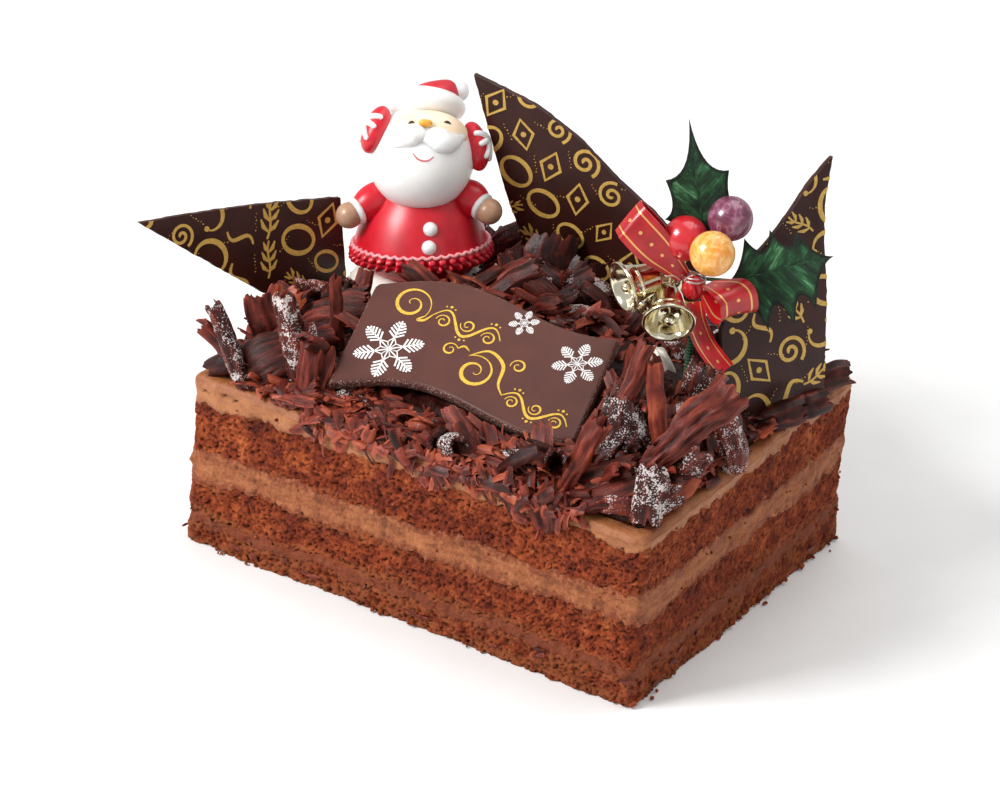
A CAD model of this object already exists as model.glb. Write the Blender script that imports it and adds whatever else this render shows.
"""A layered chocolate Christmas cake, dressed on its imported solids.

The sections follow the cake as it is put together: sponge and cream, the heap of curls, the plaque and
shards, the sugar figure, the holly pick, and last the crumbs, the table, the light and the camera.
"""
import math
import random

import bmesh
import bpy
from mathutils import Matrix, Vector, noise


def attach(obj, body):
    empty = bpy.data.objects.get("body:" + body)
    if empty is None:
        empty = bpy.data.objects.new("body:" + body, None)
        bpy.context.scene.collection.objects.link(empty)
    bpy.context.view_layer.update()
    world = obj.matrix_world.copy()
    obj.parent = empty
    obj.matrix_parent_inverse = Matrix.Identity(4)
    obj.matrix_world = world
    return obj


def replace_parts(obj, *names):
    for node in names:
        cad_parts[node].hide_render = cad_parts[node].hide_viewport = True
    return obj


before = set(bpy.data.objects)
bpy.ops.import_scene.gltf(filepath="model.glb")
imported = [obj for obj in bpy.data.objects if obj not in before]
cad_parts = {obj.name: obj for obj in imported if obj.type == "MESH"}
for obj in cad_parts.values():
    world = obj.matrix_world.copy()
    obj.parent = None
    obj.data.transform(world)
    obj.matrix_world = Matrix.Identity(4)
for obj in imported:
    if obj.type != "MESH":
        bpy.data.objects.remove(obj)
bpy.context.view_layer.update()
MM = 0.001
# Vector noise draws from the clock unless it has a seed
noise.seed_set(1)


# The sponge
# Three sheets of chocolate sponge, baked on a tray and cut with a knife. The cut tears the crumb, so the
# sides are craggy, full of open pores, and coarser on the long front side than on the short right one.

CAKE_LENGTH = 142 * MM
CAKE_WIDTH = 112 * MM
CAKE_TOP = 51 * MM
CORNER_RADIUS = 3 * MM
SIDE_STEP = 0.42 * MM


def at(x, y, z):
    """A place or a direction given in millimetres."""
    return Vector((x, y, z)) * MM


def colour(hex_code):
    """An sRGB hex colour as the linear numbers that a shader takes."""
    parts = [int(hex_code[i:i + 2], 16) / 255 for i in (1, 3, 5)]
    return (*[p / 12.92 if p <= 0.04045 else ((p + 0.055) / 1.055) ** 2.4 for p in parts], 1.0)


def link_or_set(material, socket, value):
    """Give a socket a number or a colour, or link it to an output or to a node's first live output."""
    if isinstance(value, bpy.types.Node):
        value = next(output for output in value.outputs if output.enabled)
    if isinstance(value, bpy.types.NodeSocket):
        material.node_tree.links.new(value, socket)
    else:
        socket.default_value = value


def add_node(material, kind, inputs=None, stops=(), **settings):
    """Add a shader node with its settings; an input is a number, a colour or the node that feeds it."""
    node = material.node_tree.nodes.new("ShaderNode" + kind)
    for name, value in settings.items():
        setattr(node, name, value)
    for _ in stops[2:]:
        node.color_ramp.elements.new(0.5)
    for i, (place, tint) in enumerate(stops):
        node.color_ramp.elements[i].position = place
        node.color_ramp.elements[i].color = colour(tint)
    for name, value in (inputs or {}).items():
        link_or_set(material, node.inputs[name], value)
    return node


def finish_material(material, **looks):
    """Set the Principled shader's own sockets, or link them to the nodes that feed them."""
    shader = material.node_tree.nodes["Principled BSDF"]
    for socket, value in looks.items():
        link_or_set(material, shader.inputs[socket.replace("_", " ")], value)
    return material


def new_material(name, **looks):
    """A material with a Principled shader."""
    material = bpy.data.materials.new(name)
    material.use_nodes = True
    return finish_material(material, **looks)


def new_piece(name, points, faces, materials, attributes=None, sharp=None):
    """A mesh piece from points and faces, riding on the cake."""
    mesh = bpy.data.meshes.new(name)
    mesh.from_pydata(points, [], faces)
    for key, values in (attributes or {}).items():
        mesh.attributes.new(key, "FLOAT", "POINT").data.foreach_set("value", values)
    for material in materials if isinstance(materials, list) else [materials]:
        mesh.materials.append(material)
    mesh.shade_smooth()
    if sharp:
        mesh.set_sharp_from_angle(angle=math.radians(sharp))
    piece = bpy.data.objects.new(name, mesh)
    bpy.context.scene.collection.objects.link(piece)
    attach(piece, "root")
    return piece


def cake_outline(step):
    """Points round the cake with their outward directions."""
    half_x = CAKE_LENGTH / 2 - CORNER_RADIUS
    half_y = CAKE_WIDTH / 2 - CORNER_RADIUS
    points = []
    for quarter, (sign_x, sign_y) in enumerate(((1, -1), (1, 1), (-1, 1), (-1, -1))):
        centre = Vector((sign_x * half_x, sign_y * half_y, 0))
        bends = 9
        for i in range(bends + 1):
            angle = math.radians(-90 + 90 * quarter + 90 * i / bends)
            outward = Vector((math.cos(angle), math.sin(angle), 0))
            points.append((centre + outward * CORNER_RADIUS, outward))
        length = 2 * (half_y if quarter % 2 == 0 else half_x)
        along = Vector((-outward.y, outward.x, 0))
        start = centre + outward * CORNER_RADIUS
        count = round(length / step)
        for i in range(1, count):
            points.append((start + along * (length * i / count), outward))
    return points


def boundary(base, rise, place):
    """The height of the line between two layers on the side: tilted, wavy and torn by the knife."""
    spot = Vector((place.x, place.y, base))
    wave = noise.noise(spot * 70) * 1.5 + noise.noise(spot * 300) * 1.5 + noise.noise(spot * 850) * 0.9
    return base + rise * place.x / (CAKE_LENGTH / 2) + wave * MM


def side_form(place):
    """How the whole side bulges: slow swells, and the soft foot at the left end."""
    slow = noise.noise(place * 45) * 0.6 * MM
    crag = noise.noise(place * 260 + Vector((7, 3, 1))) * 0.7 * MM
    bulge = 1.6 * MM * max(0.0, -place.x / CAKE_LENGTH - 0.1) * (1 - place.z / CAKE_TOP)
    return slow + crag + bulge


def sponge_relief(place, outward):
    """The torn crumb: how far it stands out, and how deep in a pore the place lies, from 0 to 1."""
    coarse = 1.0 - 0.45 * max(0.0, outward.x) - 0.2 * max(0.0, outward.y)
    crumb = noise.noise(place * 330) * 0.5 + noise.noise(place * 1100) * 0.45
    pore = 0.8 * max(0.0, noise.noise(place * 700 + Vector((3, 9, 5))) - 0.24)
    pore += max(0.0, noise.noise(place * 1300 + Vector((8, 2, 4))) - 0.14)
    return (crumb * 0.8 - pore * 2.2) * coarse * MM, min(0.85, pore * 2.4)


def hoop_faces(rows, count, ring=False):
    """The faces of a solid from closed rows of points, the lowest first: flat at both ends, or, for a ring,
    with the last row joined to the first."""
    size = rows * count
    faces = []
    for row in range(rows if ring else rows - 1):
        for i in range(count):
            a, b = row * count + i, row * count + (i + 1) % count
            faces.append((a, b, (b + count) % size, (a + count) % size))
    return faces if ring else faces + [tuple(reversed(range(count))), tuple(range(size - count, size))]


def rough_side(name, low, high, relief, spans, material, step, rim=()):
    """A slab of the cake with a finely modelled side, between two edges that low and high give for a place;
    rim lists (drop, inset) for a rounded top."""
    outline = cake_outline(step)
    count = len(outline)
    points = []
    looks = {"hollow": [], "seam": []}
    spread = [(i / spans, 0.0, 0.0) for i in range(spans + 1)] + [(1.0, drop, inset) for drop, inset in rim]
    for share, drop, inset in spread:
        for point, outward in outline:
            place = point.copy()
            top = high(place)
            place.z = low(place) * (1 - share) + (top - (rim[0][0] if rim else 0.0)) * share
            if drop or inset:
                place.z = top - drop
            stand, hollow = relief(place, outward)
            edge = 1.0 if not rim else max(0.0, 1 - inset / (4 * MM))
            place += outward * ((side_form(place) + stand) * edge - inset)
            points.append(place)
            looks["hollow"].append(hollow)
            looks["seam"].append(min(1.0, min(share, 1 - share) * (top - low(point)) / (4 * MM)))
    return new_piece(name, points, hoop_faces(len(spread), count), material, looks)


def crumb_material():
    """Chocolate sponge: matt, warm brown, its pores dark red, its torn crumb lighter, and smeared with cream
    beside the filling and low down, where the knife dragged it. The crumb is 1 to 3 mm."""
    material = new_material("baked chocolate sponge", Roughness=0.88, Specular_IOR_Level=0.25)
    place = add_node(material, "TexCoord").outputs["Object"]
    clumps = add_node(material, "TexNoise", {"Vector": place, "Scale": 230, "Detail": 3, "Roughness": 0.6})
    grain = add_node(material, "TexNoise", {"Vector": place, "Scale": 1150, "Detail": 4, "Roughness": 0.7})
    mixed = add_node(material, "Mix", {"Factor": 0.5, "A": clumps, "B": grain})
    baked = add_node(material, "TexNoise", {"Vector": place, "Scale": 75, "Detail": 2})
    uneven = add_node(material, "Math", {0: baked, 1: 0.3, 2: mixed}, operation="MULTIPLY_ADD")
    tone = add_node(material, "Math", {0: uneven, 1: 0.15}, operation="SUBTRACT")
    tints = add_node(material, "ValToRGB", {"Fac": tone},
                     stops=((0.32, "#3A1108"), (0.43, "#68250F"), (0.54, "#8A3A19"), (0.67, "#B05E30")))
    drag = add_node(material, "Mapping", {"Vector": place, "Scale": (0.55, 0.55, 1.5)})
    smear = add_node(material, "TexNoise", {"Vector": drag, "Scale": 210, "Detail": 4, "Roughness": 0.7})
    seam = add_node(material, "Attribute", attribute_name="seam").outputs["Fac"]
    beside = add_node(material, "Math", {0: seam, 1: -0.25, 2: smear}, operation="MULTIPLY_ADD")
    height = add_node(material, "SeparateXYZ", {"Vector": place})
    low = add_node(material, "MapRange",
                   {"Value": height.outputs["Z"], "From Min": 24 * MM, "From Max": 4 * MM, "To Max": 0.20})
    laid = add_node(material, "Math", {0: beside, 1: low}, operation="ADD")
    cover = add_node(material, "MapRange",
                     {"Value": laid, "From Min": 0.44, "From Max": 0.56, "To Max": 0.8})
    creamy = add_node(material, "Mix", {"Factor": cover, "A": tints, "B": colour("#8B4A28")},
                      data_type="RGBA")
    hollow = add_node(material, "Attribute", attribute_name="hollow").outputs["Fac"]
    dark = add_node(material, "Mix", {"Factor": hollow, "A": creamy, "B": colour("#310D08")},
                    data_type="RGBA")
    relief = add_node(material, "Bump", {"Height": grain, "Strength": 0.8, "Distance": 0.5 * MM})
    return finish_material(material, Base_Color=dark, Normal=relief)


sponge = crumb_material()
LOWER_CREAM_BASE = (7.5 * MM, 1.5 * MM)
LOWER_CREAM_TOP = (10.0 * MM, 1.8 * MM)
MIDDLE_CREAM_BASE = (22.5 * MM, 3.0 * MM)
MIDDLE_CREAM_TOP = (30.5 * MM, 2.6 * MM)
TOP_CREAM_BASE = (45.3 * MM, 1.7 * MM)
for name, lower, upper, spans in (("sponge_bottom", (0.0, 0.0), LOWER_CREAM_BASE, 18),
                                  ("sponge_middle", LOWER_CREAM_TOP, MIDDLE_CREAM_BASE, 31),
                                  ("sponge_top", MIDDLE_CREAM_TOP, TOP_CREAM_BASE, 36)):
    sheet = rough_side(name + "_crumb",
                       lambda place, line=lower: boundary(*line, place) if line[0] else 0.0,
                       lambda place, line=upper: boundary(*line, place),
                       sponge_relief, spans, sponge, SIDE_STEP)
    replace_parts(sheet, name)


# The cream
# Chocolate cream spread between the sheets and over the top. The knife drags it along the cut, so it shows
# fine level streaks with crumbs caught in them; the top coat is smooth, with a soft rounded rim.

def cream_relief(place, outward):
    """Level streaks, upright drags where the knife came down, fine grain, and the odd crumb."""
    along = place.x + place.y
    streak = noise.noise(Vector((along * 90, place.z * 800, 3))) * 0.16
    streak += noise.noise(Vector((along * 480, place.z * 90, 9))) * 0.32
    grain = noise.noise(place * 1000) * 0.32 + noise.noise(place * 2000) * 0.16
    crumb = max(0.0, noise.noise(place * 380 + Vector((4, 4, 4))) - 0.32) * 1.8
    coarse = 1.0 - 0.6 * max(0.0, outward.x)
    hollow = max(0.0, -grain - 0.10) * 2.6 + max(0.0, -streak - 0.09) * 3.0
    return (streak + grain * 1.2 + crumb) * coarse * MM, min(1.0, hollow)


def top_cream_relief(place, outward):
    """The smooth top coat, with two short knife slits near the left end of the front."""
    sway = noise.noise(place * 130) * 0.35
    sway += noise.noise(Vector((place.x * 60, place.y * 60, place.z * 700))) * 0.14
    slit = 0.0
    for start, end, height, tilt in ((-70, -64.5, 47.4, -0.02), (-62, -55.5, 47.9, -0.12)):
        x = place.x / MM
        if outward.y < -0.7 and start < x < end:
            line = height + tilt * (x - start)
            near = max(0.0, 1 - abs(place.z / MM - line) / 0.42)
            slit = max(slit, near * min(1.0, (x - start) / 1.2, (end - x) / 1.2))
    return (sway - slit * 1.3) * MM, slit


def cream_material(name, light, middle, dark, roughness, caught_crumbs):
    """Whipped chocolate cream: a soft satin tan with half-millimetre grains; light goes a millimetre in."""
    material = new_material(name, Roughness=roughness, Subsurface_Weight=0.12, Subsurface_Scale=1.2 * MM,
                            Subsurface_Radius=(1.0, 0.5, 0.3), Specular_IOR_Level=0.35)
    place = add_node(material, "TexCoord").outputs["Object"]
    drag = add_node(material, "Mapping", {"Vector": place, "Scale": (0.35, 0.35, 1.0)})
    streaks = add_node(material, "TexNoise", {"Vector": drag, "Scale": 420, "Detail": 4})
    grain = add_node(material, "TexNoise", {"Vector": place, "Scale": 1500, "Detail": 3, "Roughness": 0.7})
    mixed = add_node(material, "Mix", {"Factor": 0.45, "A": streaks, "B": grain})
    tints = add_node(material, "ValToRGB", {"Fac": mixed},
                     stops=((0.32, dark), (0.48, middle), (0.66, light)))
    seam = add_node(material, "Attribute", attribute_name="seam").outputs["Fac"]
    crumbs = add_node(material, "TexNoise", {"Vector": place, "Scale": 480, "Detail": 4, "Roughness": 0.75})
    beside = add_node(material, "Math", {0: seam, 1: -0.26, 2: crumbs}, operation="MULTIPLY_ADD")
    caught = add_node(material, "MapRange",
                      {"Value": beside, "From Min": 0.40, "From Max": 0.49, "To Max": caught_crumbs})
    crumbed = add_node(material, "Mix", {"Factor": caught, "A": tints, "B": colour("#7A3418")},
                       data_type="RGBA")
    hollow = add_node(material, "Attribute", attribute_name="hollow").outputs["Fac"]
    shade = add_node(material, "Mix", {"Factor": hollow, "A": crumbed, "B": colour("#3E170C")},
                     data_type="RGBA")
    relief = add_node(material, "Bump", {"Height": grain, "Strength": 0.6, "Distance": 0.4 * MM})
    return finish_material(material, Base_Color=shade, Normal=relief)


dark_filling = cream_material("chocolate filling dragged down by the knife", "#8E4C29", "#73371B",
                              "#50210F", 0.75, 0.95)
filling = cream_material("whipped chocolate filling", "#AE6C42", "#92522D", "#68311A", 0.65, 0.9)
for name, lower, upper, spans, cream in (("cream_lower", LOWER_CREAM_BASE, LOWER_CREAM_TOP, 7, dark_filling),
                                         ("cream_middle", MIDDLE_CREAM_BASE, MIDDLE_CREAM_TOP, 20, filling)):
    spread = rough_side(name + "_spread",
                        lambda place, line=lower: boundary(*line, place) - 0.3 * MM,
                        lambda place, line=upper: boundary(*line, place) + 0.3 * MM,
                        cream_relief, spans, cream, SIDE_STEP)
    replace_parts(spread, name)

coating = cream_material("smooth chocolate top cream", "#B27649", "#A1653E", "#88502D", 0.45, 0.3)
top_rim = ((1.8 * MM, 0.0), (1.1 * MM, 0.15 * MM), (0.6 * MM, 0.5 * MM), (0.2 * MM, 1.0 * MM),
           (0.0, 1.8 * MM), (0.0, 3.0 * MM), (0.0, 5.0 * MM), (0.0, 9.0 * MM))
coat = rough_side("cream_top_coat",
                  lambda place: boundary(*TOP_CREAM_BASE, place) - 0.3 * MM,
                  lambda place: CAKE_TOP + noise.noise(place * 60) * 0.3 * MM,
                  top_cream_relief, 9, coating, SIDE_STEP, top_rim)
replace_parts(coat, "cream_top")


# The heap of chocolate curls
# Shavings scraped off a block with a knife: ridged bark, rolled logs, flat chips and thin slivers of dark
# and milk chocolate, dropped on the cream so that they lie in each other's gaps, then dusted with sugar.

HEAP_FLOOR = CAKE_TOP + 0.3 * MM
HEAP_INSET = 4 * MM
PLAQUE_CORNER = at(-31.7, -51.0, 58.5)
PLAQUE_ALONG = Vector((0.979, 0.199, -0.048)).normalized()
PLAQUE_UP = Vector((-0.156, 0.878, 0.453)).normalized()
PLAQUE_LENGTH = 69 * MM
PLAQUE_DEPTH = 35 * MM
PLAQUE_THICKNESS = 3.4 * MM
FIGURE_FOOT = at(-48.5, 20.4, 51.3)
PICK_FOOT = at(36.5, 4, 51.3)


def plaque_underside(x, y):
    """The height of the plaque's lower face over a place, or None away from it."""
    normal = PLAQUE_ALONG.cross(PLAQUE_UP)
    under = PLAQUE_CORNER - normal * PLAQUE_THICKNESS
    z = under.z - (normal.x * (x - under.x) + normal.y * (y - under.y)) / normal.z
    offset = Vector((x, y, z)) - under
    along = offset.dot(PLAQUE_ALONG)
    up = offset.dot(PLAQUE_UP)
    if -5 * MM < along < PLAQUE_LENGTH + 5 * MM and -2 * MM < up < PLAQUE_DEPTH + 9 * MM:
        return z
    return None


def heap_top(x, y):
    """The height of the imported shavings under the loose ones: the same mounds that carry the toppings."""
    inset = min(CAKE_LENGTH / 2 - HEAP_INSET - abs(x), CAKE_WIDTH / 2 - HEAP_INSET - abs(y))
    rim = max(0.0, min(1.0, inset / (9 * MM)))
    mounds = ((0, 2, 30, 5.0), (-8, -2, 15, 7.0), (15, 2, 14, 6.0), (42, 4, 14, 6.5), (-52, -28, 16, 4.5),
              (55, -22, 14, 5.0), (-30, 5, 12, 5.0), (-20, 32, 14, 3.0), (58, 30, 12, 1.5))
    swell = sum(rise * math.exp(-((x / MM - cx) ** 2 + (y / MM - cy) ** 2) / (2 * wide ** 2))
                for cx, cy, wide, rise in mounds)
    lump = noise.noise(Vector((x, y, 0)) * 90) * 1.2 + noise.noise(Vector((x, y, 5)) * 260) * 1.2
    top = HEAP_FLOOR + (1.2 + rim * (1.6 + swell + lump)) * MM
    under = plaque_underside(x, y)
    if under is not None:
        top = max(HEAP_FLOOR + 0.6 * MM, min(top, under - 0.8 * MM))
    return top


def chocolate_material():
    """Scraped chocolate: satin, dark red-brown, drawn out in paler fibres by the knife; its tone goes from
    couverture to milk. Where sugar fell it lies in grains of two thirds of a millimetre."""
    material = new_material("scraped chocolate", Roughness=0.4, Specular_IOR_Level=0.26)
    place = add_node(material, "TexCoord").outputs["Object"]
    tone = add_node(material, "Attribute", attribute_name="tone").outputs["Fac"]
    fibre = add_node(material, "Attribute", attribute_name="fibre").outputs["Fac"]
    over = add_node(material, "Attribute", attribute_name="over").outputs["Fac"]
    down = add_node(material, "Attribute", attribute_name="down").outputs["Fac"]
    run = add_node(material, "CombineXYZ", {"X": over, "Y": down})
    strand = add_node(material, "TexNoise", {"Vector": run, "Scale": 1, "Detail": 4, "Roughness": 0.7})
    mottle = add_node(material, "MapRange",
                      {"Value": strand, "From Min": 0.3, "From Max": 0.7, "To Min": -0.2, "To Max": 0.2})
    lit = add_node(material, "Math", {0: tone, 1: mottle}, operation="ADD")
    strands = add_node(material, "Math", {0: fibre, 1: 0.32, 2: lit}, operation="MULTIPLY_ADD")
    tints = add_node(material, "ValToRGB", {"Fac": strands},
                     stops=((0.0, "#120404"), (0.3, "#330F09"), (0.55, "#5C2017"), (0.78, "#7E3222"),
                            (1.0, "#A04C32")))
    dust = add_node(material, "Attribute", attribute_name="sugar").outputs["Fac"]
    clumps = add_node(material, "TexNoise", {"Vector": place, "Scale": 300, "Detail": 3})
    facing = add_node(material, "SeparateXYZ",
                      {"Vector": add_node(material, "NewGeometry").outputs["Normal"]})
    lying = add_node(material, "Math", {0: facing.outputs["Z"], 1: 0.2, 2: -0.78}, operation="MULTIPLY_ADD")
    heaped = add_node(material, "Math", {0: clumps, 1: 2.7, 2: lying}, operation="MULTIPLY_ADD")
    density = add_node(material, "Math", {0: dust, 1: heaped}, operation="MULTIPLY")
    grain = add_node(material, "TexVoronoi", {"Vector": place, "Scale": 1900})
    covered = add_node(material, "Math", {0: density, 1: grain}, operation="SUBTRACT")
    white = add_node(material, "MapRange",
                     {"Value": covered, "From Min": 0.04, "From Max": 0.24, "To Max": 0.85})
    dusted = add_node(material, "Mix", {"Factor": white, "A": tints, "B": colour("#DDD3D0")},
                      data_type="RGBA")
    rough = add_node(material, "MapRange", {"Value": white, "To Min": 0.4, "To Max": 0.95})
    height = add_node(material, "Math", {0: white, 1: 0.5, 2: strand}, operation="MULTIPLY_ADD")
    relief = add_node(material, "Bump", {"Height": height, "Strength": 0.8, "Distance": 0.4 * MM})
    return finish_material(material, Base_Color=dusted, Roughness=rough, Normal=relief)


chocolate = chocolate_material()


def sheet_faces(rows, columns):
    """The faces of a sheet of points in open rows."""
    corners = [row * columns + k for row in range(rows - 1) for k in range(columns - 1)]
    return [(a, a + 1, a + 1 + columns, a + columns) for a in corners]


def rim_loop(rows, columns):
    """The points round the edge of such a sheet, in order."""
    size = rows * columns
    return (list(range(columns)) + list(range(2 * columns - 1, size, columns))
            + list(range(size - 2, size - columns - 1, -1)) + list(range(size - 2 * columns, 0, -columns)))


def two_skins(rows, columns):
    """The faces of a thin piece: its points are an outer skin in open rows, then an inner one like it."""
    size = rows * columns
    outer = sheet_faces(rows, columns)
    edge = rim_loop(rows, columns)
    return (outer + [tuple(size + k for k in reversed(face)) for face in outer]
            + [(b, a, size + a, size + b) for a, b in zip(edge, edge[1:] + edge[:1])])


class Gathered:
    """Many small shapes gathered into one mesh, with the looks of each point."""

    def __init__(self, *looks):
        self.points = []
        self.faces = []
        self.looks = {look: [] for look in looks}

    def add(self, points, faces):
        """Add a shape whose faces count its own points."""
        start = len(self.points)
        self.points += points
        self.faces += [tuple(start + k for k in face) for face in faces]

    def piece(self, name, material, slot, sharp):
        made = new_piece(name, self.points, self.faces, material, self.looks, sharp)
        bm = bmesh.new()
        bm.from_mesh(made.data)
        bmesh.ops.recalc_face_normals(bm, faces=bm.faces)
        bm.to_mesh(made.data)
        bm.free()
        return made


class Heap(Gathered):
    """Many strips of scraped chocolate."""

    def __init__(self):
        super().__init__("tone", "fibre", "sugar", "over", "down")

    def strip(self, foot, tip, width, wrap, bow=0.0, thickness=1.2 * MM, ridge=0.25 * MM, ragged=1.5 * MM,
              tone=0.4, sugar=0.0, outward=Vector((0.43, -0.74, 0.7)), cell=0.45 * MM, seed=0.0,
              taper=0.12, fan=0.0, strand=0.42 * MM):
        """One shaving: its section wraps round part of a circle and is ridged lengthwise, its ends are torn;
        fan widens it toward the tip."""
        reach = tip - foot
        along = reach.normalized()
        out = (outward - along * outward.dot(along)).normalized()
        across = along.cross(out)
        half = math.radians(wrap) / 2
        radius = width / 2 / math.sin(min(half, math.pi / 2))
        arc = 2 * half * radius
        columns = max(3, round(arc / cell))
        rows = max(3, round(reach.length / (cell * 1.6)))
        offset = Vector((seed * 7.31, seed * 3.77, seed * 1.93))
        points = []
        for skin in (0, 1):
            for i in range(rows + 1):
                for k in range(columns + 1):
                    u = k / columns
                    v = i / rows
                    tear = noise.noise(offset + Vector((u * arc / (1.6 * MM), round(v) * 5, 2)))
                    tear += 0.6 * noise.noise(offset + Vector((u * arc / (0.6 * MM), round(v) * 5, 4)))
                    v += (2 * v - 1) ** 3 * tear * ragged / reach.length
                    grain = Vector((u * arc / (1.3 * MM), v * reach.length / (8 * MM), skin * 2))
                    fine = Vector((u * arc / (0.55 * MM), v * reach.length / (3 * MM), 8 + skin))
                    fibre = 1.3 * noise.noise(offset + grain) + 0.5 * noise.noise(offset + fine)
                    sway = noise.noise(offset + Vector((v * reach.length / (4 * MM), u * 1.3, 11)))
                    angle = half * (2 * u - 1)
                    scale = 1 - taper * abs(2 * v - 1) ** 2 + 0.12 * sway + fan * (v - 0.5)
                    centre = foot + reach * v + out * bow * math.sin(math.pi * v)
                    bend = noise.noise(offset + Vector((v * reach.length / (9 * MM), 5, 5)))
                    centre += across * width * 0.16 * bend
                    if half < math.pi / 2:
                        centre -= out * radius * math.cos(half) * scale
                    thin = 1 - abs(2 * u - 1) ** 4 * 0.7
                    depth = radius * scale + ridge * fibre - (thickness * thin if skin else 0.0)
                    spoke = out * math.cos(angle) + across * math.sin(angle)
                    points.append(centre + spoke * depth)
                    rim = max(abs(2 * u - 1), abs(2 * i / rows - 1)) ** 6
                    self.looks["tone"].append(tone + 0.16 * rim - 0.14 * skin)
                    self.looks["fibre"].append(fibre)
                    self.looks["over"].append(u * arc / strand + seed * 9)
                    self.looks["down"].append(v * reach.length / (4.5 * MM) + seed * 5)
                    self.looks["sugar"].append(sugar * (0.4 if skin else 1))
        self.add(points, two_skins(rows + 1, columns + 1))


def packed_core():
    """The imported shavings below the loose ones, down to the cream."""
    columns = 138
    rows = 108
    points = []
    tone = []
    half_x = CAKE_LENGTH / 2 - HEAP_INSET
    half_y = CAKE_WIDTH / 2 - HEAP_INSET
    for row in range(rows + 1):
        for column in range(columns + 1):
            x = (2 * column / columns - 1) * half_x
            y = (2 * row / rows - 1) * half_y
            wobble = noise.noise_vector(Vector((x, y, 0.02)) * 60) * 1.5 * MM
            at_edge = min(column, columns - column, row, rows - row) == 0
            crag = noise.noise(Vector((x * 600, y * 260, 1)))
            crag += 0.6 * noise.noise(Vector((x * 300, y * 900, 7)))
            z = HEAP_FLOOR - 0.5 * MM if at_edge else heap_top(x, y) + crag * 1.2 * MM
            points.append(Vector((x + wobble.x, y + wobble.y, z)))
            tone.append(0.22 + crag * 0.2)
    faces = sheet_faces(rows + 1, columns + 1) + [tuple(reversed(rim_loop(rows + 1, columns + 1)))]
    looks = {"tone": tone, "fibre": [0.0] * len(points), "sugar": [0.0] * len(points),
             "over": [(point.x + 0.3 * point.y) / (0.45 * MM) for point in points],
             "down": [point.y / (4 * MM) for point in points]}
    return new_piece("packed_shavings", points, faces, chocolate, looks)


core = packed_core()
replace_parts(core, "chocolate_curls")


# The big curls, each where it stands in the heap: foot and tip, width, how far the section wraps in degrees,
# bow, ridge depth, tone from dark to milk, how much sugar lies on it, and how it fans out. They are dug into
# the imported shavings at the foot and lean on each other.

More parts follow.
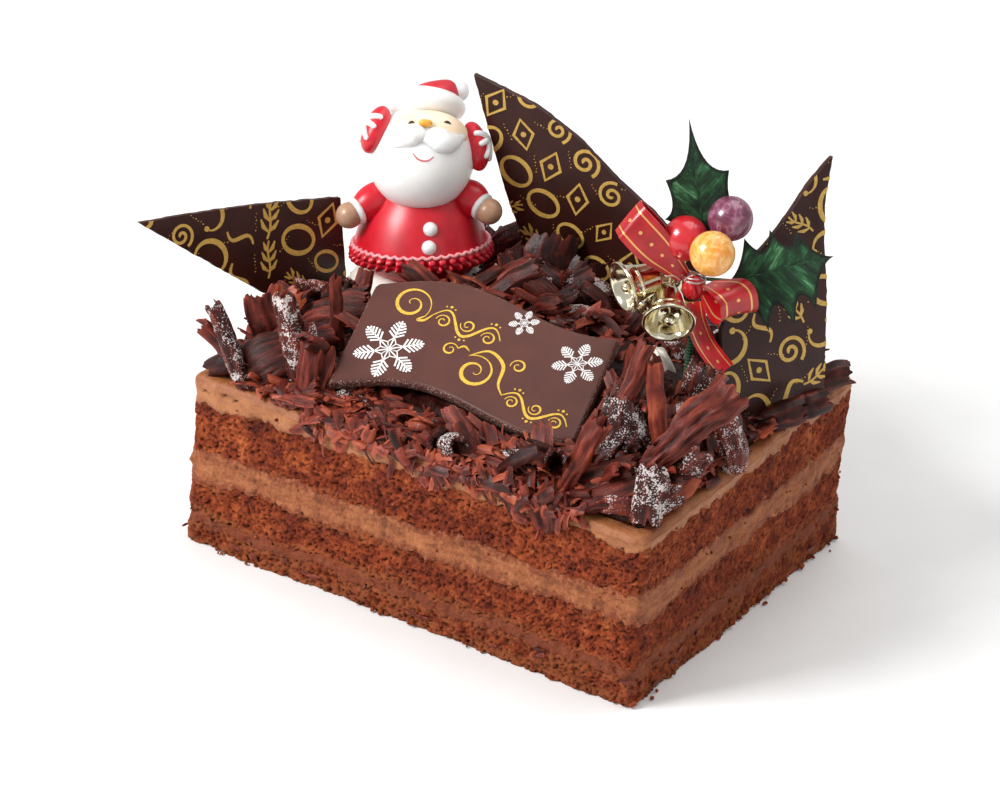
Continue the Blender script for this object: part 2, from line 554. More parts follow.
BIG_CURLS = (
    ((-55, -53.5, 51.5), (-66.5, -54, 72.5), 5, 300, 0, 0.4, 0.36, 0.7),
    ((-68, -52, 52.5), (-61, -51, 57), 6, 300, 0, 0.12, 0.25, 0),
    ((-54.5, -42, 56), (-61.5, -41, 72), 8.5, 75, 0.6, 0.05, 0.42, 0.08),
    ((-68, -30, 54), (-58, -25, 67), 7, 60, 1, 0.08, 0.85, 0),
    ((-66, -33, 56), (-63.5, -28, 69), 4, 50, 0, 0.08, 0.80, 0),
    ((-59, -52, 52), (-47, -45, 62), 14, 70, 2, 0.42, 0.30, 0.05),
    ((-41, -48, 54), (-49, -46, 78), 6.4, 300, 0, 0.5, 0.38, 0.78),
    ((-38, -46, 54), (-43.5, -43, 70), 4.5, 250, 0, 0.45, 0.42, 0.65),
    ((-69, -24, 56), (-56, -20, 64), 6, 120, 1, 0.25, 0.42, 0.1),
    ((-58, -25, 58), (-39, -21, 68), 9, 60, 1, 0.4, 0.42, 0.05),
    ((-60, -18, 56), (-44, -12, 66), 8, 60, 1, 0.4, 0.36, 0),
    ((-57, -29, 58), (-44, -27, 66), 6, 80, 1, 0.4, 0.50, 0),
    ((-41, -31, 58), (-44.5, -29, 78), 3.6, 200, 0, 0.2, 0.52, 0),
    ((-37.5, -51, 53), (-39, -46, 69), 7, 200, 1, 0.5, 0.55, 0),
    ((-34.5, -50, 54), (-35, -44, 66), 4, 120, 1, 0.4, 0.58, 0),
    ((-43, -53, 52), (-33, -52, 58), 7, 70, 1, 0.3, 0.5, 0),
    ((-46, -55.5, 52), (-31, -56.5, 56), 3, 60, 0.5, 0.2, 0.62, 0),
    ((-39, 38, 58), (-29, 45, 68), 8, 180, 1, 0.4, 0.35, 0.3),
    ((-32, 30, 56), (-23, 36, 67), 8, 90, 1, 0.4, 0.4, 0),
    ((-12, 28, 55), (-15, 35, 75), 15, 60, 1, 0.08, 0.2, 0),
    ((-4, 30, 55), (-2, 35, 71), 10, 60, 1, 0.08, 0.22, 0),
    ((-20, 26, 55), (-23, 31, 69), 8, 60, 1, 0.1, 0.22, 0),
    ((-13, 10, 62), (-7, 16, 74), 10, 120, 1, 0.45, 0.34, 0.8),
    ((-20, 8, 60), (-17, 14, 72), 7, 150, 1, 0.45, 0.36, 0.7),
    ((4, 17, 58), (0, 18, 75), 3.6, 160, 0, 0.4, 0.4, 0.7),
    ((6, 14, 62), (15, 17, 67), 7, 90, 1, 0.4, 0.45, 0.2),
    ((14, 12, 60), (24, 12, 66), 7, 120, 1, 0.35, 0.3, 0.1),
    ((20, 16, 60), (26, 20, 74), 7, 90, 1, 0.4, 0.3, 0.15),
    ((46, -36, 62), (49.5, -23, 87), 4.8, 220, 0.6, 0.5, 0.62, 0.12, 0.25),
    ((60, -31, 62), (52.5, -25, 83), 5, 110, 0.3, 0.06, 0.72, 0),
    ((40.5, -45, 54), (44, -36, 70), 4.5, 200, 0.6, 0.45, 0.5, 0.3, 0.1),
    ((43, -33, 60), (45, -26, 76), 5, 180, 0.6, 0.5, 0.36, 0.5),
    ((44, -24, 62), (43.5, -15, 77), 6, 160, 0.6, 0.5, 0.3, 0.3),
    ((41, -18, 60), (40.5, -9, 70), 6, 160, 0.6, 0.4, 0.4, 0.1),
    ((40.5, -18, 59), (33.5, 0, 70), 5, 140, 1, 0.5, 0.5, 0.1),
    ((38.5, -27, 58), (38.5, -18, 67), 5, 160, 0.5, 0.5, 0.5, 0.2),
    ((51, -5, 57), (55, 0, 73), 10, 120, 1, 0.45, 0.36, 0.6),
    ((42, -52, 52), (49.5, -45, 73), 5.4, 200, 1, 0.5, 0.62, 0, 0.3),
    ((47, -40, 54), (49, -30, 73), 12, 120, 1, 0.5, 0.32, 0.6),
    ((44, -46, 53), (58, -40, 62), 6, 180, 3, 0.4, 0.38, 0.25),
    ((50, -52, 52.5), (66, -45, 60), 7, 200, 2, 0.4, 0.46, 0.2),
    ((57, -42, 56), (73.5, -19, 80.5), 8.8, 150, 3, 0.9, 0.55, 0.16, 1.0),
    ((63, -34, 54), (72, -31, 68), 10, 120, 1, 0.5, 0.45, 0.6),
    ((70.3, -9, 50.8), (67, -12, 69), 8.5, 150, 1, 0.5, 0.5, 0.7),
    ((68, -50, 52.5), (65, -45, 66), 9, 120, 1, 0.45, 0.36, 0.8),
    ((62, -51, 52.5), (73, -42, 59), 6, 140, 1, 0.45, 0.36, 0.75),
    ((67, -38, 53), (71, -32, 61), 6, 60, 1, 0.1, 0.85, 0),
    ((58, 11, 56), (47, 12, 74), 12, 90, 1, 0.45, 0.35, 0.2),
    ((53, 1, 56), (52, 5, 70), 6, 300, 0, 0.2, 0.5, 0.75),
    ((46, -6, 60), (41, -5, 72), 6, 60, 0, 0.2, 0.55, 0),
    ((66, 15, 52), (73, 22, 57), 8, 150, 1, 0.15, 0.3, 0),
    ((67, 25, 52), (74, 34, 55), 8, 150, 2, 0.15, 0.28, 0.1),
    ((64, 40, 52), (73, 48, 56), 8, 150, 1, 0.15, 0.32, 0),
)
big = Heap()
for i, (foot, tip, width, wrap, bow, ridge, tone, sugar, *fan) in enumerate(BIG_CURLS):
    big.strip(at(*foot), at(*tip), width * MM, wrap, bow * MM, 1.5 * MM, ridge * MM, 1.8 * MM, tone, sugar,
              cell=0.46 * MM, seed=i + 1, fan=fan[0] if fan else 0.0,
              strand=(0.42 if ridge > 0.15 else 4) * MM)
big.piece("big_curls", chocolate, "curl_chocolate", 50)


def crosses(point, margin):
    """True where a point would be in the plaque, the figure, the pick's cream or a shard's plane."""
    offset = point - PLAQUE_CORNER
    along, up = offset.dot(PLAQUE_ALONG), offset.dot(PLAQUE_UP)
    height = offset.dot(PLAQUE_ALONG.cross(PLAQUE_UP))
    if -margin < along < PLAQUE_LENGTH + margin and -margin < up - 6 * MM < PLAQUE_DEPTH + margin:
        if height > -PLAQUE_THICKNESS - margin:
            return True
    for foot, radius in ((FIGURE_FOOT, 21.5 * MM), (PICK_FOOT, 8 * MM)):
        if (point - foot).xy.length < radius + margin:
            return True
    for origin, heading, left, right in ((at(-77, -14, 0), 66, -38, 27), (at(0, 42, 0), 8, -30, 30),
                                         (at(73.5, 32.4, 0), 60, -32, 2)):
        line = Vector((math.cos(math.radians(heading)), math.sin(math.radians(heading)), 0))
        offset = point - origin
        share = offset.dot(line) / MM
        if left < share < right and abs(line.x * offset.y - line.y * offset.x) < 1 * MM + margin:
            return True
    return False


def scatter(heap, count, draw, area, length, width, wraps, climbs, tones, sugars, **looks):
    """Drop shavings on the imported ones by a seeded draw, each clear of the toppings."""
    made = 0
    tries = 0
    while made < count and tries < count * 12:
        tries += 1
        x = draw.uniform(*area[0]) * MM
        y = draw.uniform(*area[1]) * MM
        heading = draw.uniform(0, math.tau)
        climb = math.radians(draw.uniform(*climbs))
        long = draw.uniform(*length) * MM
        wide = draw.uniform(*width) * MM
        wrap = draw.choice(wraps)
        tone = draw.uniform(*tones)
        sugar = draw.choice(sugars)
        lift = draw.uniform(-0.6, 1.6) * MM
        out = Vector((draw.uniform(-0.7, 0.7), draw.uniform(-0.9, 0.5), 1.0))
        foot = Vector((x, y, heap_top(x, y) + lift))
        level = math.cos(climb)
        tip = foot + Vector((math.cos(heading) * level, math.sin(heading) * level, math.sin(climb))) * long
        low = heap_top(tip.x, tip.y) if abs(tip.x) < 69 * MM and abs(tip.y) < 54 * MM else CAKE_TOP
        tip.z = max(tip.z, low + 0.4 * MM)
        if abs(tip.x) > 71.5 * MM or abs(tip.y) > 57 * MM:
            continue
        if any(crosses(foot.lerp(tip, share), wide * 0.35) for share in (0, 0.5, 1)):
            continue
        heap.strip(foot, tip, wide, wrap, draw.uniform(0, 0.12) * long, tone=tone, sugar=sugar, outward=out,
                   seed=draw.uniform(0, 90), **looks)
        made += 1


draw = random.Random(24)
bark = Heap()
for count, area in ((26, ((-66, -20), (-50, -10))), (44, ((30, 68), (-52, -8))), (44, ((-26, 66), (8, 34))),
                    (58, ((-66, 60), (30, 52))), (16, ((-66, -26), (-4, 30))), (12, ((-30, 34), (-53, -44))),
                    (16, ((-24, 32), (-8, 12)))):
    scatter(bark, count, draw, area, (8, 17), (3, 7.5), (70, 110, 160, 240), (5, 50), (0.18, 0.6),
            (0, 0, 0, 0.2, 0.5, 0.8), thickness=1.1 * MM, ridge=0.45 * MM, ragged=1.8 * MM, cell=0.82 * MM,
            strand=0.7 * MM)
bark.piece("bark_shavings", chocolate, "curl_chocolate", 50)

slivers = Heap()
for count, area, climbs in ((420, ((-50, 50), (-56.5, -42)), (-12, 30)),
                            (150, ((-68, -24), (-53, -5)), (-5, 45)),
                            (190, ((32, 69), (-53, -5)), (-5, 45)), (190, ((-68, 69), (5, 53)), (0, 45)),
                            (200, ((-66, 67), (36, 54)), (-5, 40)), (90, ((-26, 36), (-10, 14)), (0, 35)),
                            (60, ((-69, -66), (-50, 50)), (-10, 30)),
                            (60, ((66, 70), (-45, 50)), (-10, 30))):
    scatter(slivers, count, draw, area, (2.2, 9), (0.6, 3.8), (40, 80, 140), climbs, (0.3, 0.95),
            (0, 0, 0, 0, 0.3), thickness=0.55 * MM, ridge=0.2 * MM, ragged=1.5 * MM, cell=0.9 * MM,
            taper=0.1, strand=1.8 * MM)
# Where the heap spills over the front, slivers are pressed into the rim of the cream
for _ in range(215):
    foot = at(draw.uniform(-36, 52), -56 - draw.uniform(0, 1.0), 52.6 - abs(draw.gauss(0, 2.3)))
    turn = draw.uniform(-2.4, 2.4)
    along = Vector((math.cos(turn), draw.uniform(-0.15, 0.1), math.sin(turn)))
    slivers.strip(foot, foot + along * draw.uniform(2, 7.5) * MM,
                  draw.choice((0.6, 1.0, 1.7, 2.6, 3.6)) * MM, draw.choice((40, 80, 140)),
                  draw.uniform(0, 0.8) * MM, 0.55 * MM, 0.2 * MM, 1.6 * MM, draw.uniform(0.3, 0.95), 0.0,
                  Vector((draw.uniform(-0.7, 0.7), -0.8, draw.uniform(0.1, 0.9))), 0.9 * MM,
                  draw.uniform(0, 90), 0.1, strand=1.8 * MM)
slivers.piece("small_slivers", chocolate, "curl_chocolate", 50)


# The plaque
# A moulded bar of dark milk chocolate, its long edges waved, its rim rounded by the mould and dusted by
# handling. Flourishes are printed on it in gold, and three snowflakes in white.

def stack(name, rows, material, attributes=None, sharp=None, ring=False):
    """A solid from closed rows of points, the lowest first, or a ring of them."""
    points = [point for row in rows for point in row]
    faces = hoop_faces(len(rows), len(rows[0]), ring)
    return new_piece(name, points, faces, material, attributes, sharp)


def plaque_edge(share):
    """How far a long edge of the plaque swings up, at a share of its length."""
    wave = 2.6 * MM * math.sin(math.tau * (share * PLAQUE_LENGTH - 7.25 * MM) / (67 * MM))
    start = max(0.0, 1 - share / 0.35)
    return wave + 5.9 * MM - 3.2 * MM * start ** 2


def plaque_place(s, t, height=0.0):
    """A point of the plaque: s along it, t up it, height above its face."""
    return PLAQUE_CORNER + PLAQUE_ALONG * s + PLAQUE_UP * t + PLAQUE_ALONG.cross(PLAQUE_UP) * height


def plaque_ring(inset):
    """The plaque's outline as (s, t) points, drawn in by an inset: its corners rounded, then waved."""
    radius = max(0.3 * MM, 1.5 * MM - inset)
    low, high_s, high_t = inset + radius, PLAQUE_LENGTH - inset - radius, PLAQUE_DEPTH - inset - radius
    corners = ((high_s, low, -90), (high_s, high_t, 0), (low, high_t, 90), (low, low, 180))
    ring = []
    for (s, t, turn), (next_s, next_t, _) in zip(corners, corners[1:] + corners[:1]):
        for i in range(7):
            angle = math.radians(turn + 15 * i)
            ring.append((s + radius * math.cos(angle), t + radius * math.sin(angle)))
        out = Vector((math.cos(math.radians(turn + 90)), math.sin(math.radians(turn + 90)))) * radius
        count = 20 if abs(next_s - s) < MM else 60
        for i in range(1, count):
            ring.append((s + (next_s - s) * i / count + out.x, t + (next_t - t) * i / count + out.y))
    return [(s, t + plaque_edge(s / PLAQUE_LENGTH)) for s, t in ring]


def bar_material(name, base, dusty, roughness):
    """Tempered chocolate: satin, even brown, with faint cloudy bloom; handling leaves dust on the edges."""
    material = new_material(name, Roughness=roughness, Specular_IOR_Level=0.3, Coat_Weight=0.05,
                            Coat_Roughness=0.3)
    place = add_node(material, "TexCoord").outputs["Object"]
    cloud = add_node(material, "TexNoise", {"Vector": place, "Scale": 130, "Detail": 4})
    tints = add_node(material, "ValToRGB", {"Fac": cloud}, stops=((0.35, base[0]), (0.65, base[1])))
    specks = add_node(material, "TexNoise", {"Vector": place, "Scale": 2600, "Detail": 2, "Roughness": 0.8})
    edge = add_node(material, "Attribute", attribute_name="edge").outputs["Fac"]
    sparse = add_node(material, "Math", {0: edge, 1: 0.2, 2: specks}, operation="MULTIPLY_ADD")
    dust = add_node(material, "MapRange", {"Value": sparse, "From Min": 0.74, "From Max": 0.84})
    shade = add_node(material, "Mix", {"Factor": dust, "A": tints, "B": colour(dusty)}, data_type="RGBA")
    relief = add_node(material, "Bump", {"Height": specks, "Strength": 0.12, "Distance": 0.1 * MM})
    return finish_material(material, Base_Color=shade, Normal=relief)


bar = bar_material("tempered milk chocolate bar", ("#512B24", "#583027"), "#B8A49C", 0.42)
bar_rows = []
bar_edge = []
for inset, height, edge in ((1.2, -3.4, 0.6), (0.5, -3.3, 0.8), (0.1, -2.9, 1), (0, -2.4, 1), (0, -1.2, 1),
                            (0.12, -0.7, 1), (0.4, -0.3, 0.9), (0.8, -0.08, 0.5), (1.3, 0, 0.15),
                            (1.8, 0, 0)):
    bar_rows.append([plaque_place(s, t, height * MM) for s, t in plaque_ring(inset * MM)])
    bar_edge += [edge] * len(bar_rows[-1])
plaque = stack("plaque_bar", bar_rows, bar, {"edge": bar_edge})
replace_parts(plaque, "plaque")


def print_material(name, light, dark, roughness, metallic):
    """A printed film of coloured cocoa butter: it lies on the chocolate, a little uneven where it took."""
    material = new_material(name, Roughness=roughness, Metallic=metallic)
    place = add_node(material, "TexCoord").outputs["Object"]
    patches = add_node(material, "TexNoise", {"Vector": place, "Scale": 1400, "Detail": 3})
    tints = add_node(material, "ValToRGB", {"Fac": patches}, stops=((0.3, dark), (0.6, light)))
    relief = add_node(material, "Bump", {"Height": patches, "Strength": 0.15, "Distance": 0.05 * MM})
    return finish_material(material, Base_Color=tints, Normal=relief)


gold_print = print_material("gold cocoa butter print", "#E2BA44", "#C8982C", 0.45, 0.15)
white_print = print_material("white cocoa butter print", "#F6F4F2", "#DEDAD8", 0.55, 0.0)


class Print(Gathered):
    """Flat printed strokes, each a band of changing width, raised a hair above what they are printed on."""

    def __init__(self, place):
        super().__init__()
        self.place = place

    def stroke(self, path, closed=False):
        """One stroke along (s, t, width) points, in millimetres."""
        points = []
        count = len(path)
        for i, (s, t, width) in enumerate(path):
            before = path[i - 1] if i or closed else path[0]
            after = path[(i + 1) % count] if i < count - 1 or closed else path[-1]
            run_s, run_t = after[0] - before[0], after[1] - before[1]
            size = math.hypot(run_s, run_t) or 1.0
            off_s, off_t = -run_t / size * width / 2, run_s / size * width / 2
            for side, height in ((1, 0.02), (1, 0.1), (-1, 0.1), (-1, 0.02)):
                points.append(self.place((s + off_s * side) * MM, (t + off_t * side) * MM, height * MM))
        self.add(points, hoop_faces(count, 4, closed))

    def patch(self, outline):
        """A filled shape from its outline."""
        points = [self.place(s * MM, t * MM, height * MM) for height in (0.02, 0.1) for s, t in outline]
        self.add(points, hoop_faces(2, len(outline)))

    def dot(self, s, t, radius, sides=14):
        self.patch([(s + radius * math.cos(math.tau * i / sides),
                     t + radius * math.sin(math.tau * i / sides)) for i in range(sides)])


def spiral(s, t, radius, turns, start_angle, thick, thin=0.25, hand=1):
    """A scroll that winds inwards from its rim, thick in the middle of its run as a pen leaves it."""
    steps = round(26 * turns)
    path = []
    for i in range(steps + 1):
        share = i / steps
        angle = start_angle + hand * math.tau * turns * share
        reach = radius * (1 - share) ** 0.75 + 0.35 * share
        width = thin + (thick - thin) * math.sin(math.pi * min(1.0, share * 1.15)) ** 2
        path.append((s + reach * math.cos(angle), t + reach * math.sin(angle), max(0.2, width)))
    return path


def smooth(points, steps=6):
    """A rounded line through a few points, each of any number of values."""
    knots = [points[0]] + list(points) + [points[-1]]
    made = []
    for a, b, c, d in zip(knots, knots[1:], knots[2:], knots[3:]):
        for i in range(steps):
            v = i / steps
            made.append(tuple(0.5 * (2 * q + (r - p) * v + (2 * p - 5 * q + 4 * r - s) * v ** 2
                                     + (3 * q - p - 3 * r + s) * v ** 3) for p, q, r, s in zip(a, b, c, d)))
    return made + [tuple(points[-1])]


def sweep(points, thick, thin=0.25):
    """A pen stroke through a few points, thick in its middle."""
    path = smooth(points, 9)
    last = len(path) - 1
    return [(s, t, thin + (thick - thin) * math.sin(math.pi * i / last) ** 1.5)
            for i, (s, t) in enumerate(path)]


def snowflake(sheet, s, t, radius, turn):
    """A six-armed flake with feathered arms round a small open star."""
    line = radius * 0.05
    for arm in range(6):
        angle = turn + arm * math.tau / 6
        run, rise = math.cos(angle), math.sin(angle)

        def spot(out, side):
            return s + radius * (run * out - rise * side), t + radius * (rise * out + run * side)

        sheet.stroke([(*spot(0.0, 0), line * 0.7), (*spot(0.98, 0), line)])
        for out, reach in ((0.40, 0.22), (0.52, 0.22), (0.64, 0.19), (0.75, 0.15), (0.85, 0.10)):
            for side in (-1, 1):
                sheet.stroke([(*spot(out, 0), line), (*spot(out + reach * 0.75, side * reach), line)])
        for side in (-1, 1):
            sheet.stroke([(*spot(0.05, side * 0.03), line * 0.6), (*spot(0.22, side * 0.12), line * 0.6),
                          (*spot(0.40, 0), line * 0.6)])


def vine(sheet, start, end, bays, swing, curl):
    """A running scroll: a waving stem, a small spiral curled up in each bay, and dots beyond each crest."""
    start, end = Vector(start), Vector(end)
    run = end - start
    aside = Vector((-run.y, run.x)).normalized()
    lean = math.atan2(run.y, run.x)
    stem = []
    for i in range(4 * bays + 1):
        share = i / (4 * bays)
        spot = start + run * share + aside * swing * math.sin(math.pi * bays * share)
        stem.append((spot.x, spot.y))
    sheet.stroke(sweep(stem, 0.85, 0.3))
    for bay in range(bays):
        sign = 1 if bay % 2 == 0 else -1
        heart = start + run * ((bay + 0.5) / bays) - aside * sign * swing * 0.25
        sheet.stroke(spiral(heart.x, heart.y, curl, 1.35, lean + math.pi, 0.55, hand=-sign))
        dot = heart + aside * sign * (swing * 1.25 + 1.3)
        sheet.dot(dot.x, dot.y, 0.42)
        for reach in (-1, 1):
            spot = dot + run.normalized() * reach * 1.3 - aside * sign * 0.35
            sheet.dot(spot.x, spot.y, 0.26)


flakes = Print(plaque_place)
for s, t, radius, turn in ((11.5, 16.8, 9.8, 0.5), (42.7, 36.2, 4.3, 0.42), (60.9, 28.3, 7.0, 0.45)):
    snowflake(flakes, s, t, radius, turn)
flakes.piece("plaque_snowflakes", white_print, "plaque_chocolate", 30)

flourish = Print(plaque_place)
flourish.stroke(spiral(11.8, 32.6, 5.6, 1.6, -0.5, 1.0))
flourish.stroke(sweep([(16.7, 29.9), (15.2, 28.2), (17.0, 28.6), (18.6, 31.0)], 0.8, 0.3))
vine(flourish, (18.6, 31.0), (38.8, 28.6), 3, 3.0, 2.1)
flourish.stroke(spiral(35.8, 17.2, 5.4, 1.6, 2.2, 1.1, hand=-1))
flourish.stroke(sweep([(32.7, 21.6), (37.5, 24.6), (42.5, 21.5), (43.4, 15.5), (45.5, 12.4)], 1.0, 0.3))
vine(flourish, (45.5, 12.4), (65.5, 8.4), 3, 2.5, 1.9)
for s, t, radius, angle, hand in ((27.0, 22.0, 2.1, 0.4, 1), (46.4, 22.4, 2.2, 3.4, -1)):
    flourish.stroke(spiral(s, t, radius, 1.3, angle, 0.6, hand=hand))
flourish.stroke(sweep([(28.9, 22.8), (30.4, 24.0), (32.2, 23.0)], 0.6, 0.25))
flourish.piece("plaque_flourish", gold_print, "plaque_chocolate", 30)


# The shards
# Three pieces snapped from 1.8 mm sheets of dark chocolate made on a printed transfer film: a glossy printed
# face, a plain back, edges as they broke. They stand dug into the curls, the middle one a little warped.

LEFT_SHARD = ((-37.4, 28.2), (-17.9, 27.1), (1.5, 25.3), (26, 22), (26, -4.8), (11, -4.8), (-0.7, 0.2),
              (-19.1, 14.1))
MIDDLE_SHARD = ((-42.9, 64.6), (-35.4, 41.6), (-31.6, 30.3), (-27.3, 20.6), (-20.6, -0.3), (29.5, -0.3),
                (27.5, 21.9), (11.6, 34.8), (0.6, 41.7), (-12, 51.5), (-24.5, 58.6))
RIGHT_SHARD = ((4.4, 68.9), (-2.5, 63.2), (-8.8, 56), (-15.7, 48.9), (-22.9, 43.3), (-31, 26.8), (-31, -1.3),
               (0, 0), (0.9, 15.4), (1.8, 32), (1.2, 46), (1.8, 57))
SHARDS = (("shard_left", LEFT_SHARD, at(-77, -14, 56.5), 66, 12, 0),
          ("shard_middle", MIDDLE_SHARD, at(0, 42, 52), 8, 0, 3.5),
          ("shard_right", RIGHT_SHARD, at(73.5, 32.4, 53), 60, 12, 0))


def shard_plane(origin, heading, lean, bow):
    """How a shard's own drawing goes to its place: heading along the plate, lean back, both in degrees."""
    along = Vector((math.cos(math.radians(heading)), math.sin(math.radians(heading)), 0))
    face = Vector((along.y, -along.x, 0))
    up = Vector((0, 0, math.cos(math.radians(lean)))) - face * math.sin(math.radians(lean))
    normal = along.cross(up)

    def place(x, y, height=0.0):
        lift = bow * MM * (x / (43 * MM)) ** 2 if x < 0 else 0.0
        return origin + along * x + up * y + normal * (height + lift)

    return place


def prism(outline, low, high):
    """A closed solid between two heights over an outline in millimetres, its long edges cut short."""
    bm = bmesh.new()
    fine = []
    for a, b in zip(outline, outline[1:] + outline[:1]):
        count = max(1, round(math.dist(a, b) / 1.5))
        fine += [(a[0] + (b[0] - a[0]) * i / count, a[1] + (b[1] - a[1]) * i / count) for i in range(count)]
    rough = [(x + noise.noise(Vector((x, y, 0)) * 0.7) * 0.25,
              y + noise.noise(Vector((x, y, 9)) * 0.7) * 0.25) for x, y in fine]
    base = bm.faces.new([bm.verts.new((x * MM, y * MM, low * MM)) for x, y in rough])
    top = bmesh.ops.extrude_face_region(bm, geom=[base])
    for vert in (v for v in top["geom"] if isinstance(v, bmesh.types.BMVert)):
        vert.co.z = high * MM
    bmesh.ops.recalc_face_normals(bm, faces=bm.faces)
    return bm


def as_object(name, bm):
    mesh = bpy.data.meshes.new(name)
    bm.to_mesh(mesh)
    bm.free()
    made = bpy.data.objects.new(name, mesh)
    bpy.context.scene.collection.objects.link(made)
    return made


def settled(piece):
    """The piece's mesh with its modifiers applied."""
    bpy.context.view_layer.update()
    graph = bpy.context.evaluated_depsgraph_get()
    mesh = bpy.data.meshes.new_from_object(piece.evaluated_get(graph))
    piece.modifiers.clear()
    piece.data = mesh
    return piece


def motif(sheet, kind, x, y, size, turn):
    """One printed ornament: ring, spiral, arc, sprig, lozenge or wave, or a short row of fine dots."""
    line = size * 0.16

    def spot(u, v):
        return (x + size * (u * math.cos(turn) - v * math.sin(turn)),
                y + size * (u * math.sin(turn) + v * math.cos(turn)))

    if kind == "ring":
        sheet.stroke([(*spot(0.45 * math.cos(math.tau * i / 28), 0.6 * math.sin(math.tau * i / 28)),
                       line * (0.75 + 0.35 * math.cos(math.tau * i / 28) ** 2)) for i in range(28)],
                     closed=True)
    elif kind == "arc":
        sheet.stroke([(*spot(0.55 * math.cos(0.11 * i), 0.62 * math.sin(0.11 * i)),
                       line * (0.4 + 0.8 * math.cos(math.pi * i / 44) ** 2)) for i in range(-22, 23)])
        for end in (-1, 1):
            sheet.dot(*spot(-0.34, 0.46 * end), line * 0.75)
    elif kind == "sprig":
        sheet.stroke([(*spot(0.06 * math.sin(i * 0.6), 0.14 * i - 0.7), line * 0.5) for i in range(11)])
        for i, reach in enumerate((0.34, 0.30, 0.24)):
            for side in (-1, 1):
                sheet.stroke([(*spot(0, 0.36 * i - 0.45), line * 0.4),
                              (*spot(side * reach * 0.6, 0.36 * i - 0.30), line * 0.95),
                              (*spot(side * reach, 0.36 * i - 0.05), line * 0.3)])
    elif kind == "lozenge":
        sheet.stroke([(*spot(u, v), line * 0.8) for u, v in ((0.4, 0), (0, 0.62), (-0.4, 0), (0, -0.62))],
                     closed=True)
        sheet.dot(*spot(0, 0), line * 0.7)
    elif kind == "wave":
        sheet.stroke([(*spot(0.24 * math.sin(math.tau * i / 16), 0.72 * (i / 8 - 1)),
                       line * (0.5 + 0.6 * math.sin(math.pi * i / 16))) for i in range(17)])
    elif kind == "spiral":
        sheet.stroke([(*spot(0.6 * (1 - i / 44) * math.cos(i * 0.26),
                             0.6 * (1 - i / 44) * math.sin(i * 0.26)), line * 0.85) for i in range(42)])
    elif kind == "dots":
        for i in range(6):
            sheet.dot(*spot(0.12 * (i % 2), 0.5 * i - 1.25), line * (0.45 + 0.2 * (i % 3 == 0)), 8)


sheet_chocolate = bar_material("printed dark chocolate sheet", ("#2E110B", "#391710"), "#5E3C32", 0.42)
film_gold = print_material("gold transfer print", "#D6AE58", "#C09648", 0.45, 0.1)
MOTIFS = ("ring", "sprig", "wave", "arc", "spiral", "lozenge")
draw = random.Random(11)
for name, outline, origin, heading, lean, bow in SHARDS:
    place = shard_plane(origin, heading, lean, bow)
    slab = as_object(name + "_sheet", prism(outline, -0.9, 0.9))
    bevel = slab.modifiers.new("Worn edge", "BEVEL")
    bevel.width = 0.22 * MM
    bevel.segments = 2
    bevel.limit_method = "ANGLE"
    bevel.angle_limit = math.radians(50)
    settled(slab)
    bm = bmesh.new()
    bm.from_mesh(slab.data)
    for cut in range(1, 14):
        bmesh.ops.bisect_plane(bm, geom=list(bm.verts) + list(bm.edges) + list(bm.faces),
                               plane_co=(-3.2 * MM * cut, 0, 0), plane_no=(1, 0, 0))
    bmesh.ops.triangulate(bm, faces=[face for face in bm.faces if len(face.verts) > 4])
    edge = []
    for vert in bm.verts:
        edge.append(1.0 if abs(vert.co.z) < 0.8 * MM else 0.35 if abs(vert.co.z) < 0.89 * MM else 0.0)
        vert.co = place(*vert.co)
    bm.to_mesh(slab.data)
    bm.free()
    slab.data.attributes.new("edge", "FLOAT", "POINT").data.foreach_set("value", edge)
    slab.data.materials.append(sheet_chocolate)
    slab.data.shade_smooth()
    slab.data.set_sharp_from_angle(angle=math.radians(25))
    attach(slab, "root")
    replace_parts(slab, name)

    # The print is laid out in rows askew to the sheet, and cut off where the sheet broke
    film = Print(lambda x, y, height=0.0: Vector((x, y, height + 0.9 * MM)))
    low_x, high_x = min(x for x, _ in outline), max(x for x, _ in outline)
    low_y, high_y = min(y for _, y in outline), max(y for _, y in outline)
    count = 0
    for row in range(-8, 12):
        for column in range(-8, 12):
            x = low_x + 10.4 * (column + 0.5 * (row % 2)) * 0.94 - 10.4 * row * 0.34
            y = low_y + 10.4 * row * 0.94 + 10.4 * (column + 0.5 * (row % 2)) * 0.34
            if low_x - 4 < x < high_x + 4 and low_y - 4 < y < high_y + 4:
                kind = MOTIFS[(count * 5 + row) % len(MOTIFS)]
                motif(film, kind, x, y, draw.uniform(6.0, 8.4), draw.uniform(-1.2, 1.2))
                motif(film, "dots", x + 5.2, y + 3.4, 1.9, draw.uniform(-1.5, 1.5))
                count += 1
    printed = film.piece(name + "_print", film_gold, "shard_chocolate", 30)
    trim = as_object("trim", prism(outline, -3, 3))
    cut = printed.modifiers.new("Broken off", "BOOLEAN")
    cut.operation = "INTERSECT"
    cut.object = trim
    cut.solver = "EXACT"
    cut.use_self = True
    settled(printed)
    bpy.data.objects.remove(trim)
    for vert in printed.data.vertices:
        vert.co = place(*vert.co)


# The dollop of cream under the figure
# Whipped cream dropped from a spoon: a low mound of soft folds, pressed out a little by the figure's weight.

def turned_piece(name, profile, matrix, material, steps=64, shape=None):
    """A turned piece from (radius, height) in millimetres, top to bottom; shape may move each point."""
    rows = []
    for radius, height in reversed(smooth(profile)):
        row = []
        for i in range(steps):
            angle = math.tau * i / steps
            place = Vector((math.cos(angle) * max(radius, 0.02), math.sin(angle) * max(radius, 0.02),
                            height))
            if shape:
                place = shape(place, angle)
            row.append(matrix @ (place * MM))
        rows.append(row)
    return stack(name, rows, material)


